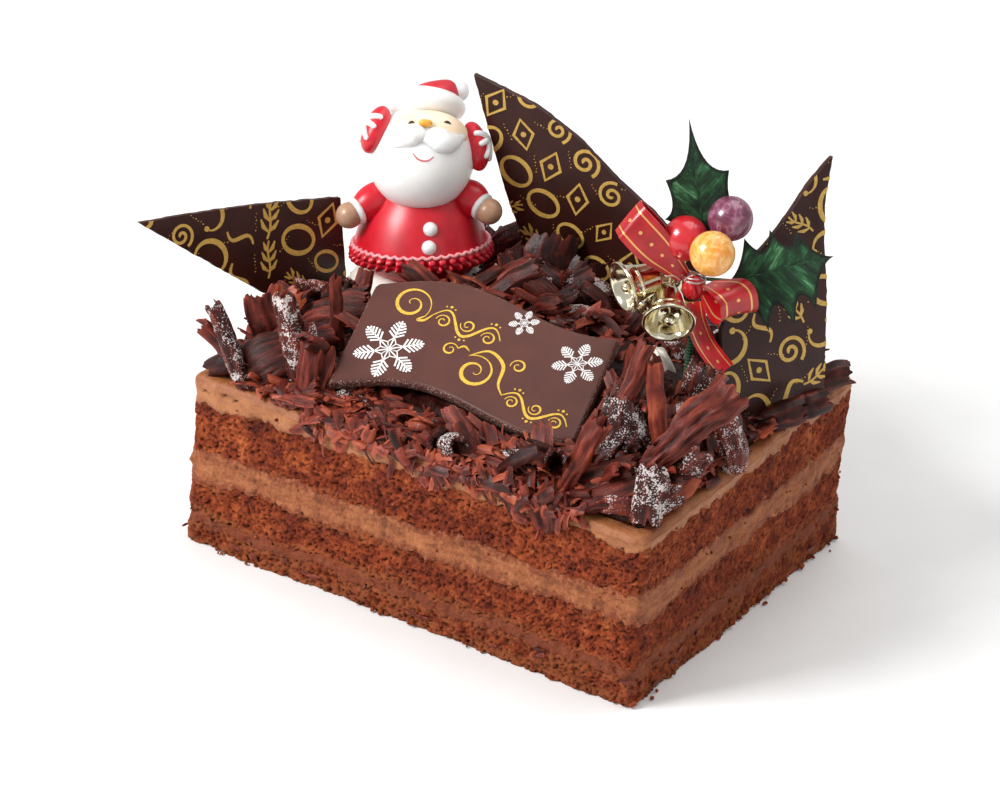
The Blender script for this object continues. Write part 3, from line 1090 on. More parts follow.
def rounded_piece(name, matrix, radii, material, segments=56, rings=36, shape=None):
    """An egg-shaped piece, its poles along the matrix's Z; shape may move each point."""
    rows = []
    for ring in range(1, rings):
        tilt = math.pi * ring / rings
        row = []
        for i in range(segments):
            angle = math.tau * i / segments
            place = Vector((math.sin(tilt) * math.cos(angle), math.sin(tilt) * math.sin(angle),
                            -math.cos(tilt)))
            if shape:
                place = shape(place)
            row.append(matrix @ Vector((place.x * radii[0], place.y * radii[1], place.z * radii[2])))
        rows.append(row)
    return stack(name, rows, material)


def whipped_material():
    """Whipped dairy cream: soft white with a warm cast; light goes deep in, so its folds look gentle."""
    material = new_material("whipped cream", Roughness=0.5, Subsurface_Weight=0.35, Subsurface_Scale=2 * MM,
                            Subsurface_Radius=(1.0, 0.85, 0.7), Specular_IOR_Level=0.4)
    place = add_node(material, "TexCoord").outputs["Object"]
    folds = add_node(material, "TexNoise", {"Vector": place, "Scale": 380, "Detail": 3})
    tints = add_node(material, "ValToRGB", {"Fac": folds}, stops=((0.3, "#E9E0D2"), (0.6, "#F5F0E8")))
    relief = add_node(material, "Bump", {"Height": folds, "Strength": 0.3, "Distance": 0.4 * MM})
    return finish_material(material, Base_Color=tints, Normal=relief)


def heading_frame(origin, up, toward):
    """A matrix at a place: its Z runs along up, and its -Y looks toward something."""
    z_axis = up.normalized()
    y_axis = -(toward - z_axis * toward.dot(z_axis)).normalized()
    turn = Matrix((y_axis.cross(z_axis), y_axis, z_axis)).transposed().to_4x4()
    return Matrix.Translation(origin) @ turn


def folded(place, angle):
    """Soft folds round a mound of cream."""
    fold = noise.noise(Vector((math.cos(angle) * 2.2, math.sin(angle) * 2.2, place.z * 0.25)))
    fine = noise.noise(place * 0.5)
    swell = 1 + 0.12 * fold + 0.04 * fine
    return Vector((place.x * swell, place.y * swell, place.z + 0.5 * fine))


FACING = Vector((0.504, -0.864, 0.0))
HEM_CENTRE = at(-48.5, 20.4, 66)
cream_white = whipped_material()
dollop = turned_piece("figure_dollop", ((0, 9.0), (9, 9.2), (14.5, 8.6), (17.8, 6.2), (18.8, 3.4), (18, 0)),
                      Matrix.Translation((*HEM_CENTRE.xy, HEAP_FLOOR)), cream_white, 72,
                      folded)
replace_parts(dollop, "cream_under_figure")


# The sugar figure
# A small doll moulded from sugar in coloured parts: a bell-shaped red coat with a frilled hem, a round white
# beard that is most of the head, a peach face, a red hat with a white brim, and brown mittens. Its faces are
# satin and a little translucent; the icing on the ear pads is piped on.

BODY_LEAN = math.radians(11)
HEAD_CENTRE = at(-49.9, 20.1, 93.1)
HEAD_RADIUS = 14.6
HEAD_TILT = math.radians(40)
MITTENS = (at(-62.8, 5.1, 77.3), at(-29.7, 24.4, 81.5))
SHOULDERS = (at(-56.5, 16.5, 82.0), at(-40.5, 25.5, 84.0))


def sugar_material(name, light, dark, glow=0.2, roughness=0.36, coat=0.15, spread=(1.0, 0.6, 0.5)):
    """Moulded sugar: even colour with faint clouds, satin gloss, and a little light under its skin."""
    material = new_material(name, Roughness=roughness, Subsurface_Weight=glow, Subsurface_Scale=1.5 * MM,
                            Subsurface_Radius=spread, Coat_Weight=coat, Coat_Roughness=0.2)
    place = add_node(material, "TexCoord").outputs["Object"]
    cloud = add_node(material, "TexNoise", {"Vector": place, "Scale": 150, "Detail": 3})
    tints = add_node(material, "ValToRGB", {"Fac": cloud}, stops=((0.35, dark), (0.62, light)))
    grain = add_node(material, "TexNoise", {"Vector": place, "Scale": 1700, "Detail": 2})
    relief = add_node(material, "Bump", {"Height": grain, "Strength": 0.10, "Distance": 0.1 * MM})
    return finish_material(material, Base_Color=tints, Normal=relief)


white_sugar = sugar_material("moulded white sugar", "#FBFAF7", "#F6F3EE", glow=0.7, spread=(3.0, 2.8, 2.6))
red_sugar = sugar_material("moulded red sugar", "#D2142A", "#BE0F22")
brown_sugar = sugar_material("moulded brown sugar", "#B48C70", "#A27A60")
peach_sugar = sugar_material("moulded peach sugar", "#FBE6CA", "#F6DAB8", glow=0.3)
amber_sugar = sugar_material("moulded amber sugar", "#E8A93A", "#D8942A")
brown_line = sugar_material("brown food colour line", "#3A241C", "#2A1812", glow=0.0)
red_line = sugar_material("red food colour line", "#D8606A", "#C84E58", glow=0.0)

body = heading_frame(HEM_CENTRE, Vector((0, 0, math.cos(BODY_LEAN))) - FACING * math.sin(BODY_LEAN), FACING)
head = heading_frame(HEAD_CENTRE, Vector((0, 0, math.cos(HEAD_TILT))) - FACING * math.sin(HEAD_TILT),
                     FACING + Vector((0.08, 0.05, 0)))


def on_head(right, front, up):
    """A place on the head, in millimetres to its right, front and top."""
    return head @ Matrix.Translation(at(right, -front, up))


def tube(name, path, material, sides=12, closed=False):
    """A round cord of sugar, icing or wire along (place, radius) points, its ends rounded off."""
    line = list(path)
    if not closed:
        for end, inner in ((0, 1), (-1, -2)):
            place, radius = line[end]
            back = (place - line[inner][0]).normalized()
            caps = [(place + back * radius * math.sin(a), radius * math.cos(a)) for a in (0.5, 1.0, 1.45)]
            line = list(reversed(caps)) + line if end == 0 else line + caps
    rows = []
    normal = None
    for i, (place, radius) in enumerate(line):
        before = line[i - 1][0] if i or closed else place
        after = line[(i + 1) % len(line)][0] if i < len(line) - 1 or closed else place
        along = (after - before).normalized()
        if normal is None:
            normal = along.orthogonal().normalized()
        normal = (normal - along * normal.dot(along)).normalized()
        other = along.cross(normal)
        turns = [math.tau * k / sides for k in range(sides)]
        rows.append([place + (normal * math.cos(turn) + other * math.sin(turn)) * radius for turn in turns])
    return stack(name, rows, material, ring=closed)


coat = turned_piece("figure_coat_moulding", ((0, 22), (6.4, 21), (11.7, 17), (15.5, 11), (18, 4), (18.4, 0),
                                             (15.5, -3.5), (13.5, -6.5)), body, red_sugar, 72)
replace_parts(coat, "figure_coat")
hem_turn = body @ Matrix.Rotation(math.radians(-5), 4, "Y")


def frilled(count, phase, depth):
    """Small scallops round a hem."""
    def shape(place, angle):
        wave = 0.6 * math.sin(angle * count + phase) + 0.25 * math.sin(2 * angle * count + 1.2)
        size = math.hypot(place.x, place.y)
        out = 1 + depth * wave * max(0.0, (size - 16.2) / 3) / size
        return Vector((place.x * out, place.y * out,
                       place.z - wave * depth * 0.35 * max(0.0, (size - 16) / 3)))
    return shape


upper_frill = turned_piece("figure_hem_upper_frill",
                           ((15.6, 2.2), (17.3, 2.3), (18.8, 1.6), (19.5, 0.7), (19.3, 0.1), (17.6, 0.2),
                            (15.6, 0.2)), hem_turn, red_sugar, 360, frilled(40, 0.0, 1.1))
lower_frill = turned_piece("figure_hem_lower_frill", ((15.0, 0.4), (17.4, 0.2), (18.8, -0.5), (19.1, -1.5),
                                                      (17.8, -2.6), (15.0, -2.8)),
                           hem_turn, red_sugar, 360, frilled(40, 1.4, 1.4))
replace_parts(upper_frill, "figure_hem")
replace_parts(lower_frill, "figure_hem")
frost_path = []
for i in range(240):
    angle = math.tau * i / 240
    wave = abs(math.sin(angle * 23))
    reach = 18.6 + 0.6 * wave
    frost_path.append((hem_turn @ at(math.cos(angle) * reach, math.sin(angle) * reach, 2.3 - 0.5 * wave),
                       0.5 * MM))
pale_red = sugar_material("frosted red sugar rim", "#F0A0A4", "#E88890")
tube("figure_hem_frosted_rim", frost_path, pale_red, 8, closed=True)
collar_path = []
for i in range(72):
    angle = math.tau * i / 72
    collar_path.append((body @ at(math.cos(angle) * 11.6, math.sin(angle) * 11.6, 17.4), 0.9 * MM))
tube("figure_collar_ridge", collar_path, pale_red, 12, closed=True)

for side, shoulder, mitten in zip(("left", "right"), SHOULDERS, MITTENS):
    reach = mitten - shoulder
    arm = heading_frame((shoulder + mitten) / 2 - reach * 0.12, reach, FACING)
    sleeve = rounded_piece("figure_sleeve_" + side, arm, (5.2 * MM, 4.8 * MM, reach.length * 0.53),
                           red_sugar)
    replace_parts(sleeve, "figure_coat")
    wrist = heading_frame(mitten - reach.normalized() * 2.6 * MM, reach, FACING)
    cuff = turned_piece("figure_cuff_roll_" + side,
                        ((0, 1.1), (2.6, 1.15), (3.7, 0.7), (4.0, 0), (3.7, -0.7), (2.6, -1.15), (0, -1.1)),
                        wrist, white_sugar, 40)
    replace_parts(cuff, "figure_cuff_" + side)
    hand = rounded_piece("figure_hand_" + side, heading_frame(mitten, reach, FACING), [3.7 * MM] * 3,
                         brown_sugar, 40, 26)
    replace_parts(hand, "figure_mitten_" + side)

beard = rounded_piece("figure_beard_ball", head, [HEAD_RADIUS * MM] * 3, white_sugar, 72, 48)
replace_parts(beard, "figure_beard")
FACE_CENTRE = Vector((1.0, 7.4, 5.6))
FACE_RADII = Vector((10.6, 6.1, 6.1))
face = rounded_piece("figure_face_band", on_head(*FACE_CENTRE), FACE_RADII * MM, peach_sugar)
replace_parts(face, "figure_face")


def head_surface(right, front, up, stand=0.0):
    """The place on the face or beard in a direction from the head's middle, stand millimetres above it."""
    way = Vector((right, front, up)).normalized()
    scaled = Vector([way[k] / FACE_RADII[k] for k in range(3)])
    start = Vector([FACE_CENTRE[k] / FACE_RADII[k] for k in range(3)])
    a, b, c = scaled.dot(scaled), scaled.dot(start), start.dot(start) - 1
    root = b * b - a * c
    reach = max(HEAD_RADIUS, (b + math.sqrt(root)) / a if root > 0 else 0.0) + stand
    return head @ at(way.x * reach, -way.y * reach, way.z * reach)


def head_line(name, directions, radii, material, stand=0.0):
    """A cord laid over the head through a few directions."""
    line = smooth([(*way, radius) for way, radius in zip(directions, radii)], 8)
    return tube(name, [(head_surface(x, y, z, stand), radius * MM) for x, y, z, radius in line], material,
                20)


for name, directions, radii in (("left",
                                 ((-0.04, 0.99, 0.17), (-0.22, 0.96, 0.20), (-0.38, 0.91, 0.13),
                                  (-0.52, 0.85, 0.03), (-0.64, 0.77, -0.06)), (1.7, 3.1, 3.0, 1.7, 0.25)),
                                ("right", ((-0.06, 0.99, 0.15), (0.14, 0.98, 0.16), (0.32, 0.93, 0.12),
                                           (0.49, 0.84, 0.17), (0.62, 0.72, 0.27), (0.71, 0.62, 0.36)),
                                 (1.7, 3.3, 3.4, 2.5, 1.3, 0.25))):
    lobe = head_line("figure_moustache_" + name, directions, radii, white_sugar, -0.4)
    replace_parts(lobe, "figure_moustache")
nose = rounded_piece("figure_nose_bead",
                     on_head(-0.8, 13.9, 6.4) @ Matrix.Rotation(math.radians(-20), 4, "X"),
                     (1.9 * MM, 1.2 * MM, 1.1 * MM), amber_sugar, 32, 20)
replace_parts(nose, "figure_nose")
for name, centre in (("left", -0.315), ("right", 0.315)):
    head_line("figure_eye_" + name, [(centre + step * 0.058, 0.86 - 0.10 * (centre > 0),
                                      0.435 + 0.022 * (1 - step * step)) for step in (-1, -0.5, 0, 0.5, 1)],
              (0.14, 0.36, 0.42, 0.36, 0.14), brown_line, 0.02)
head_line("figure_smile",
          ((-0.25, 0.96, -0.17), (-0.16, 0.96, -0.26), (-0.05, 0.96, -0.29), (0.05, 0.96, -0.27),
           (0.13, 0.97, -0.20)), (0.14, 0.2, 0.22, 0.2, 0.14), red_line, 0.03)


def furry(place):
    """The brushed surface of the brim."""
    stroke = noise.noise(Vector((place.x * 3, place.y * 3, place.z * 11)))
    return place * (1 + 0.02 * stroke)


brim = rounded_piece("figure_hat_brim_roll", on_head(0, 0.5, 14.6), (11.2 * MM, 11.0 * MM, 5.0 * MM),
                     white_sugar, 72, 40, furry)
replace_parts(brim, "figure_hat_brim")
hat = turned_piece("figure_hat_cone",
                   ((0, 8.6), (1.9, 8.3), (3.9, 6.2), (6.2, 2.8), (7.5, -0.8), (6.2, -2.4)),
                   on_head(2.5, -1.5, 15.5) @ Matrix.Rotation(math.radians(38), 4, "Y"), red_sugar,
                   56)
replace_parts(hat, "figure_hat")
pompom = rounded_piece("figure_hat_pompom", on_head(9.0, -2.4, 20.6), [3.2 * MM] * 3, white_sugar,
                       40, 26, furry)
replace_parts(pompom, "figure_pompom")

for name, side, place, slant in (("left", -1, (-13.4, 4.5, 5.6), 17), ("right", 1, (14.4, 2.5, 4.2), -17)):
    pad_frame = on_head(*place) @ Matrix.Rotation(math.radians(slant), 4, "Y")
    pad_radii = Vector((3.6, 5.0, 7.0))
    pad = rounded_piece("figure_ear_muff_" + name, pad_frame, pad_radii * MM, red_sugar, 48,
                        32)
    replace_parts(pad, "figure_ear_pad_" + name)
    for finger, (across, front, up) in enumerate(((0.2, 4.9, 2.6), (0.9, 4.8, -0.6), (1.6, 3.4, -3.9),
                                                  (3.2, 0.2, -4.6))):
        line = []
        for i in range(9):
            share = i / 8
            spot = Vector((side * (3.3 + (across - 3.3) * share), -(1.2 + (front - 1.2) * share),
                           0.8 + (up - 0.8) * share))
            size = math.sqrt(sum((spot[k] / pad_radii[k]) ** 2 for k in range(3)))
            line.append((pad_frame @ (spot / size * 1.02 * MM), (1.0 - 0.25 * share) * MM))
        tube("figure_icing_%s_%d" % (name, finger + 1), line, white_sugar, 14)
for i, (front, up) in enumerate(((15.4, 9.6), (17.2, 4.9))):
    button = rounded_piece("figure_button_bead_%d" % (i + 1), body @ Matrix.Translation(at(2.6, -front, up)),
                           [2.05 * MM] * 3, white_sugar, 40, 26)
    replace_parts(button, "figure_button_%d" % (i + 1))


# The cream under the pick
# Whipped cream piped upright from a star nozzle, its ridges softened as it settled; the pick is pushed in
# behind it.

KNOT = at(46.5, 4, 92)
STEM_FOOT = at(45.5, 6, 56)


def piped(place, angle):
    """The soft ridges a star nozzle leaves, twisting a little on their way up."""
    ridge = math.cos(7 * angle + 0.25 * place.z)
    return Vector((place.x * (1 + 0.09 * ridge), place.y * (1 + 0.09 * ridge), place.z + 0.25 * ridge))


kiss = turned_piece("pick_kiss",
                    ((0, 18.5), (2.8, 17.6), (4.9, 14), (6.6, 9), (7.7, 4.5), (7.9, 1.5), (7.2, 0)),
                    Matrix.Translation((KNOT.x - 10 * MM, KNOT.y, HEAP_FLOOR)), cream_white,
                    84, piped)
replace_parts(kiss, "cream_under_pick")


# The stem and the twigs
# Thin iron wires wound in green paper tape. The stem runs down into the cake, and a twig holds each pearl
# and leaf.

def tape_material():
    """Crepe paper tape: dull green, the turns of its winding showing as fine slanted ribs."""
    material = new_material("green paper tape", Roughness=0.75)
    place = add_node(material, "TexCoord").outputs["Object"]
    turns = add_node(material, "TexWave", {"Vector": place, "Scale": 320, "Distortion": 2.5, "Detail": 2},
                     bands_direction="Z")
    tints = add_node(material, "ValToRGB", {"Fac": turns.outputs["Fac"]},
                     stops=((0.2, "#1E3A26"), (0.8, "#3A6A44")))
    relief = add_node(material, "Bump",
                      {"Height": turns.outputs["Fac"], "Strength": 0.4, "Distance": 0.2 * MM})
    return finish_material(material, Base_Color=tints, Normal=relief)


tape = tape_material()
HUB = KNOT + at(0, 2.8, 4)
PEARLS = (("red", KNOT + at(-3.5, -0.1, 12.9)), ("amber", KNOT + at(7.7, -5.6, 14.2)),
          ("purple", KNOT + at(5.6, 6.7, 18.9)))
PEARL_RADIUS = 6 * MM
TWIGS = [("stem", STEM_FOOT, KNOT + at(0, 3, 10), 1.0)]
TWIGS += [("twig_" + name, HUB, place.lerp(HUB, 0.25), 0.5) for name, place in PEARLS]
TWIGS += [("twig_upper_leaf", HUB, KNOT + at(-0.8, 5.3, 14), 0.5),
          ("twig_lower_leaf", HUB - at(0, 0, 3), KNOT + at(11, 4.3, 3.1), 0.5),
          ("twig_bells", KNOT + at(0, 2.6, 1), KNOT + at(-6.8, 0.6, -0.5), 0.5)]
for name, start, end, radius in TWIGS:
    steps = max(3, round((end - start).length / (2 * MM)))
    line = [(start.lerp(end, i / steps), radius * MM) for i in range(steps + 1)]
    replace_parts(tube("pick_" + name, line, tape, 14), "pick_wire")


# The holly leaves
# Cut from velvet backed with paper, a stitched-looking line pressed near the dark cut edge, the midrib
# creased in.

VELVET_LEAVES = (
    ("leaf_upper", at(-0.5, 5.2, 12.5), at(-9.1, 6.9, 42.8), 10.5, 3, 1.0,
     ((0, 0.10), (0.10, 0.50), (0.20, 0.95), (0.31, 0.72), (0.53, 0.80), (0.64, 0.26), (1.0, 0.0))),
    ("leaf_lower", at(9.5, 3.6, 2.5), at(31.7, 16.2, 12.4), 11, 2, 1.4,
     ((0, 0.10), (0.12, 0.42), (0.22, 0.95), (0.36, 0.55), (0.48, 1.0), (0.60, 0.50), (0.72, 0.80),
      (0.84, 0.24), (1.0, 0.0))))


def velvet_material():
    """Velvet: short green pile brushed into lighter and darker patches, dark rims where it was cut."""
    material = new_material("green velvet", Roughness=0.85, Sheen_Weight=0.12, Sheen_Roughness=0.4,
                            Sheen_Tint=colour("#8CBF90"))
    vein = add_node(material, "Attribute", attribute_name="vein").outputs["Fac"]
    reach = add_node(material, "Attribute", attribute_name="reach").outputs["Fac"]
    run = add_node(material, "CombineXYZ", {"X": vein, "Y": reach})
    pile = add_node(material, "Mapping", {"Vector": run, "Scale": (1500, 420, 1)})
    fibre = add_node(material, "TexNoise", {"Vector": pile, "Scale": 1, "Detail": 3, "Roughness": 0.7})
    patch = add_node(material, "Mapping", {"Vector": run, "Scale": (330, 130, 1)})
    brushed = add_node(material, "TexNoise", {"Vector": patch, "Scale": 1, "Detail": 2})
    both = add_node(material, "Math", {0: fibre, 1: 0.55, 2: brushed}, operation="MULTIPLY_ADD")
    tints = add_node(material, "ValToRGB", {"Fac": both},
                     stops=((0.62, "#06180C"), (0.78, "#0F3419"), (0.90, "#265A33"), (1.0, "#5E9064")))
    rim = add_node(material, "Attribute", attribute_name="rim").outputs["Fac"]
    border = add_node(material, "ValToRGB", {"Fac": rim},
                      stops=((0.0, "#0B1F16"), (0.12, "#0B1F16"), (0.17, "#6B9079"), (0.23, "#6B9079"),
                             (0.28, "#0D2A1C"), (0.42, "#FFFFFF")))
    edged = add_node(material, "Mix", {"Factor": 1.0, "A": tints, "B": border}, data_type="RGBA",
                     blend_type="MULTIPLY")
    relief = add_node(material, "Bump", {"Height": both, "Strength": 0.5, "Distance": 0.25 * MM})
    return finish_material(material, Base_Color=edged, Normal=relief)


def holly_edge(drawn, steps=9):
    """The leaf's edge from its drawing: a rounded bay between each two spines, as (share, reach) points."""
    line = []
    for a, b, c in zip(drawn[::2], drawn[1::2], drawn[2::2]):
        a, b, c = Vector(a), Vector(b), Vector(c)
        hold = 2 * b - (a + c) / 2
        for i in range(steps):
            v = i / steps
            line.append(tuple((1 - v) ** 2 * a + 2 * v * (1 - v) * hold + v * v * c))
    return line + [drawn[-1]]


def velvet_leaf(name, base, tip, half_width, curl, broad, drawn, material, face):
    """A leaf in two skins, broader on one side of its midrib, each from the midrib out to the spiny edge,
    with the pile raised between its veins."""
    along = tip - base
    side = along.cross(face).normalized()
    normal = side.cross(along).normalized()
    edge = holly_edge(drawn)
    shore = [(share * along.length / MM, reach * half_width) for share, reach in edge]
    across = 9
    points = []
    attributes = {"vein": [], "reach": [], "rim": []}
    for offset in (0.25, -0.25):
        for share, wide in edge:
            for step in range(-across, across + 1):
                v = step / across
                sign = 1 if step > 0 else -1
                spread = broad if step > 0 else 1.0
                droop = -curl * (share - 0.35) ** 2 * 2.2
                centre = base + along * share + normal * droop * MM
                ripple = noise.noise(centre * 90 + Vector((sign, 0, 0)))
                lift = curl * (0.35 * wide + 0.4 * ripple) * v * v
                flat = (share * along.length / MM, abs(v) * wide * half_width)
                shy = min(math.dist(flat, spot) for spot in shore)
                bed = 0.35 * (1 - math.exp(-abs(v) * wide * half_width / 0.5)) * min(1.0, shy / 0.8)
                pile = 0.25 * noise.noise(Vector((flat[0] * 0.5, flat[1] * 0.5, offset)))
                body = offset * (1 if shy > 0.05 else 0.6)
                height = lift + body + ((bed + pile * min(1.0, shy)) if offset > 0 else 0)
                points.append(centre + side * v * wide * half_width * spread * MM + normal * height * MM)
                attributes["vein"].append((flat[0] - 0.9 * flat[1]) * MM)
                attributes["reach"].append((flat[1] * 1.1 + (30 if step < 0 else 0)) * MM)
                attributes["rim"].append(min(1.0, shy / 2.4))
    # The last row is the tip, a point without an edge of its own
    row = 2 * across + 1
    tip_row = range(row * (len(edge) - 1), row * len(edge))
    faces = [face for face in two_skins(len(edge), row) if min(face) not in tip_row]
    leaf = new_piece(name + "_velvet", points, faces, material, attributes, 50)
    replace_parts(leaf, name)


velvet = velvet_material()
leaf_face = (FACING + Vector((0, 0, 0.5))).normalized()
for name, base, tip, half_width, curl, broad, drawn in VELVET_LEAVES:
    velvet_leaf(name, KNOT + base, KNOT + tip, half_width, curl, broad, drawn, velvet, leaf_face)


# The pearls
# Three moulded beads on their twigs: a plain glossy red one, and an amber and a purple one with marbling.

def pearl_material(name, stops, swirl, glow):
    """Moulded pearl plastic: marbled colour under a clear skin, sharp highlights, a little light inside."""
    material = new_material(name, Roughness=0.28, Subsurface_Weight=glow, Subsurface_Scale=2 * MM,
                            Subsurface_Radius=(1.0, 0.6, 0.4), Coat_Weight=0.6, Coat_Roughness=0.08)
    place = add_node(material, "TexCoord").outputs["Object"]
    marble = add_node(material, "TexNoise",
                      {"Vector": place, "Scale": 170, "Detail": 3, "Distortion": swirl})
    tints = add_node(material, "ValToRGB", {"Fac": marble}, stops=stops)
    return finish_material(material, Base_Color=tints)


PEARL_FINISHES = {
    "red": pearl_material("red pearl bead", ((0.3, "#BE1622"), (0.7, "#D02834")), 0.2, 0.25),
    "amber": pearl_material("amber pearl bead", ((0.36, "#EC9838"), (0.47, "#F2AA50"), (0.55, "#F8C67C"),
                                                 (0.62, "#F1A84C"), (0.72, "#E89236")), 2.4, 0.35),
    "purple": pearl_material("purple pearl bead", ((0.36, "#682E46"), (0.46, "#7E4058"), (0.55, "#9C6880"),
                                                   (0.60, "#82445C"), (0.72, "#6A3048")), 2.8, 0.2)}


def moulded(place):
    """The fine seam where the two halves of the mould met."""
    return place * (1 + 0.010 * math.exp(-(place.x / 0.035) ** 2))


for name, place in PEARLS:
    turn = heading_frame(place, Vector((0.3, 0.1, 1)), FACING)
    pearl = rounded_piece("pearl_" + name, turn, [PEARL_RADIUS] * 3, PEARL_FINISHES[name],
                          72, 36, moulded)
    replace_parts(pearl, "berry_" + name)


# The bells
# Three small turned bells of plated plastic, bright pale gold, with flared lips, hollow mouths and square
# shanks.

def plating_material(name, light, dark, roughness):
    """Pale gold plating: a mirror, faintly clouded and warmer where the plate is thick."""
    material = new_material(name, Metallic=1.0, Roughness=roughness)
    place = add_node(material, "TexCoord").outputs["Object"]
    cloud = add_node(material, "TexNoise", {"Vector": place, "Scale": 260, "Detail": 3})
    tints = add_node(material, "ValToRGB", {"Fac": cloud}, stops=((0.35, dark), (0.65, light)))
    gloss = add_node(material, "MapRange",
                     {"Value": cloud, "From Min": 0.3, "From Max": 0.7, "To Min": roughness,
                      "To Max": roughness + 0.1})
    return finish_material(material, Base_Color=tints, Roughness=gloss)


plating = plating_material("pale gold plating", "#F2ECD8", "#DCCFA8", 0.07)
BELL_PROFILE = ((0, 12.6), (1.9, 12.2), (2.3, 11.6), (2.5, 11.0), (3.5, 10.3), (3.9, 9.4), (4.2, 7.6),
                (4.6, 5.6), (5.0, 4.2), (5.4, 3.9), (5.3, 3.3), (5.7, 2.2), (6.4, 1.2), (7.0, 0.7),
                (7.15, 0.2), (6.9, -0.2), (6.3, -0.1), (5.7, 0.8), (5.0, 2.4), (4.0, 4.2), (2.6, 5.4),
                (0.8, 5.9))
for name, mouth, top in (("bell_left", at(-14.6, -12, -0.5), at(-8.3, -1.4, 1.5)),
                         ("bell_back", at(-15, 1.5, -8.5), at(-8, 1.8, -1.8)),
                         ("bell_front", at(-0.5, -10.9, -6.8), at(-7.1, -1, -2.6))):
    upright = heading_frame(KNOT + mouth, top - mouth, Vector((0, 0, 1)))
    bell = turned_piece(name + "_shell", BELL_PROFILE, upright, plating, 64)
    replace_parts(bell, name)
    clapper = rounded_piece(name + "_clapper", upright @ Matrix.Translation(at(0.3, 0.2, 1.3)),
                            [1.6 * MM] * 3, plating, 32, 20)
    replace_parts(clapper, name)
    rod = [(upright @ at(0.2, 0.1, height), 0.35 * MM) for height in (2.4, 4.4, 6.2)]
    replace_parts(tube(name + "_clapper_rod", rod, plating), name)
    shank = as_object(name + "_shank",
                      prism([(-1.5, -0.2), (1.5, -0.2), (1.3, 2.2), (-1.3, 2.2)], -0.8, 0.8))
    seat = upright @ Matrix.Translation(at(0, 0, 11.6))
    shank.data.transform(seat @ Matrix.Rotation(math.radians(90), 4, "X"))
    rounding = shank.modifiers.new("Rounded edges", "BEVEL")
    rounding.width = 0.3 * MM
    rounding.segments = 3
    settled(shank)
    shank.data.materials.clear()
    shank.data.materials.append(plating)
    shank.data.shade_smooth()
    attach(shank, "root")
    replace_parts(shank, name)

LINK_CENTRE = KNOT + at(-7.6, -3.0, 1.6)
link_turn = heading_frame(LINK_CENTRE, FACING + Vector((0, 0, 0.4)), Vector((0, 0, 1)))
link_path = []
for i in range(48):
    angle = math.tau * i / 48
    square = max(abs(math.cos(angle)), abs(math.sin(angle)))
    reach = 1.75 / square ** 0.8
    link_path.append((link_turn @ at(math.cos(angle) * reach, math.sin(angle) * reach, 0), 0.42 * MM))
tube("bell_link", link_path, plating, 12, closed=True)


# The ribbon
# One length of red satin ribbon with a gold line woven along each edge and a row of gold dots printed
# between, folded in two loops and a tail, and wired at the knot.

RIBBON_THICKNESS = 0.32


def satin_material():
    """Satin: bright red with fine cross threads, its gold lines and dots metallic and a little raised."""
    material = new_material("red satin ribbon", Roughness=0.3, Coat_Weight=0.25, Coat_Roughness=0.15)
    across = add_node(material, "Attribute", attribute_name="across").outputs["Fac"]
    along = add_node(material, "Attribute", attribute_name="along").outputs["Fac"]
    side = add_node(material, "Math", {0: across}, operation="ABSOLUTE")
    line = add_node(material, "Math", {0: side, 1: 0.66, 2: 0.045}, operation="COMPARE")
    # A dot every 2.2 mm, where the remainder along the ribbon is near its middle
    step = add_node(material, "Math", {0: along, 1: 2.2 * MM}, operation="PINGPONG")
    down = add_node(material, "Math", {0: step, 1: 1 / (0.5 * MM)}, operation="MULTIPLY")
    wide = add_node(material, "Math", {0: across, 1: 10.5}, operation="MULTIPLY")
    spot = add_node(material, "CombineXYZ", {"X": down, "Y": wide})
    far = add_node(material, "VectorMath", {0: spot}, operation="LENGTH")
    dot = add_node(material, "Math", {0: far, 1: 1.0}, operation="LESS_THAN")
    gold = add_node(material, "Math", {0: line, 1: dot}, operation="MAXIMUM")
    place = add_node(material, "TexCoord").outputs["Object"]
    cloud = add_node(material, "TexNoise", {"Vector": place, "Scale": 200, "Detail": 3})
    red = add_node(material, "ValToRGB", {"Fac": cloud}, stops=((0.3, "#9C0A14"), (0.7, "#C4121D")))
    shade = add_node(material, "Mix", {"Factor": gold, "A": red, "B": colour("#E9B468")}, data_type="RGBA")
    thread = add_node(material, "TexWave",
                      {"Vector": add_node(material, "CombineXYZ", {"X": along}), "Scale": 900},
                      bands_direction="X")
    raised = add_node(material, "Math", {0: gold, 1: 3.0, 2: thread.outputs["Fac"]},
                      operation="MULTIPLY_ADD")
    relief = add_node(material, "Bump", {"Height": raised, "Strength": 0.25, "Distance": 0.05 * MM})
    metal = add_node(material, "Math", {0: gold, 1: 0.55}, operation="MULTIPLY")
    return finish_material(material, Base_Color=shade, Normal=relief, Metallic=metal)


satin = satin_material()


def ribbon_band(name, path, across, cup, node):
    """A band along (place, width) points: it is cupped a little across its width and has real thickness."""
    line = smooth([(*place, width) for place, width in path], 5)
    count = 12
    points = []
    attributes = {"across": [], "along": []}
    for side in (-1, 1):
        run = 0.0
        for i, (x, y, z, width) in enumerate(line):
            place = Vector((x, y, z))
            before = Vector(line[max(0, i - 1)][:3])
            after = Vector(line[min(len(line) - 1, i + 1)][:3])
            if i:
                run += (place - before).length
            along = (after - before).normalized()
            flat = (across - along * across.dot(along)).normalized()
            normal = along.cross(flat)
            for k in range(count + 1):
                v = 2 * k / count - 1
                height = side * RIBBON_THICKNESS / 2 * MM + cup * MM * (v * v - 0.4)
                points.append(place + flat * v * width / 2 + normal * height)
                attributes["across"].append(v)
                attributes["along"].append(run)
    faces = two_skins(len(line), count + 1)
    band = new_piece(name, points, faces, satin, attributes, 60)
    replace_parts(band, node)


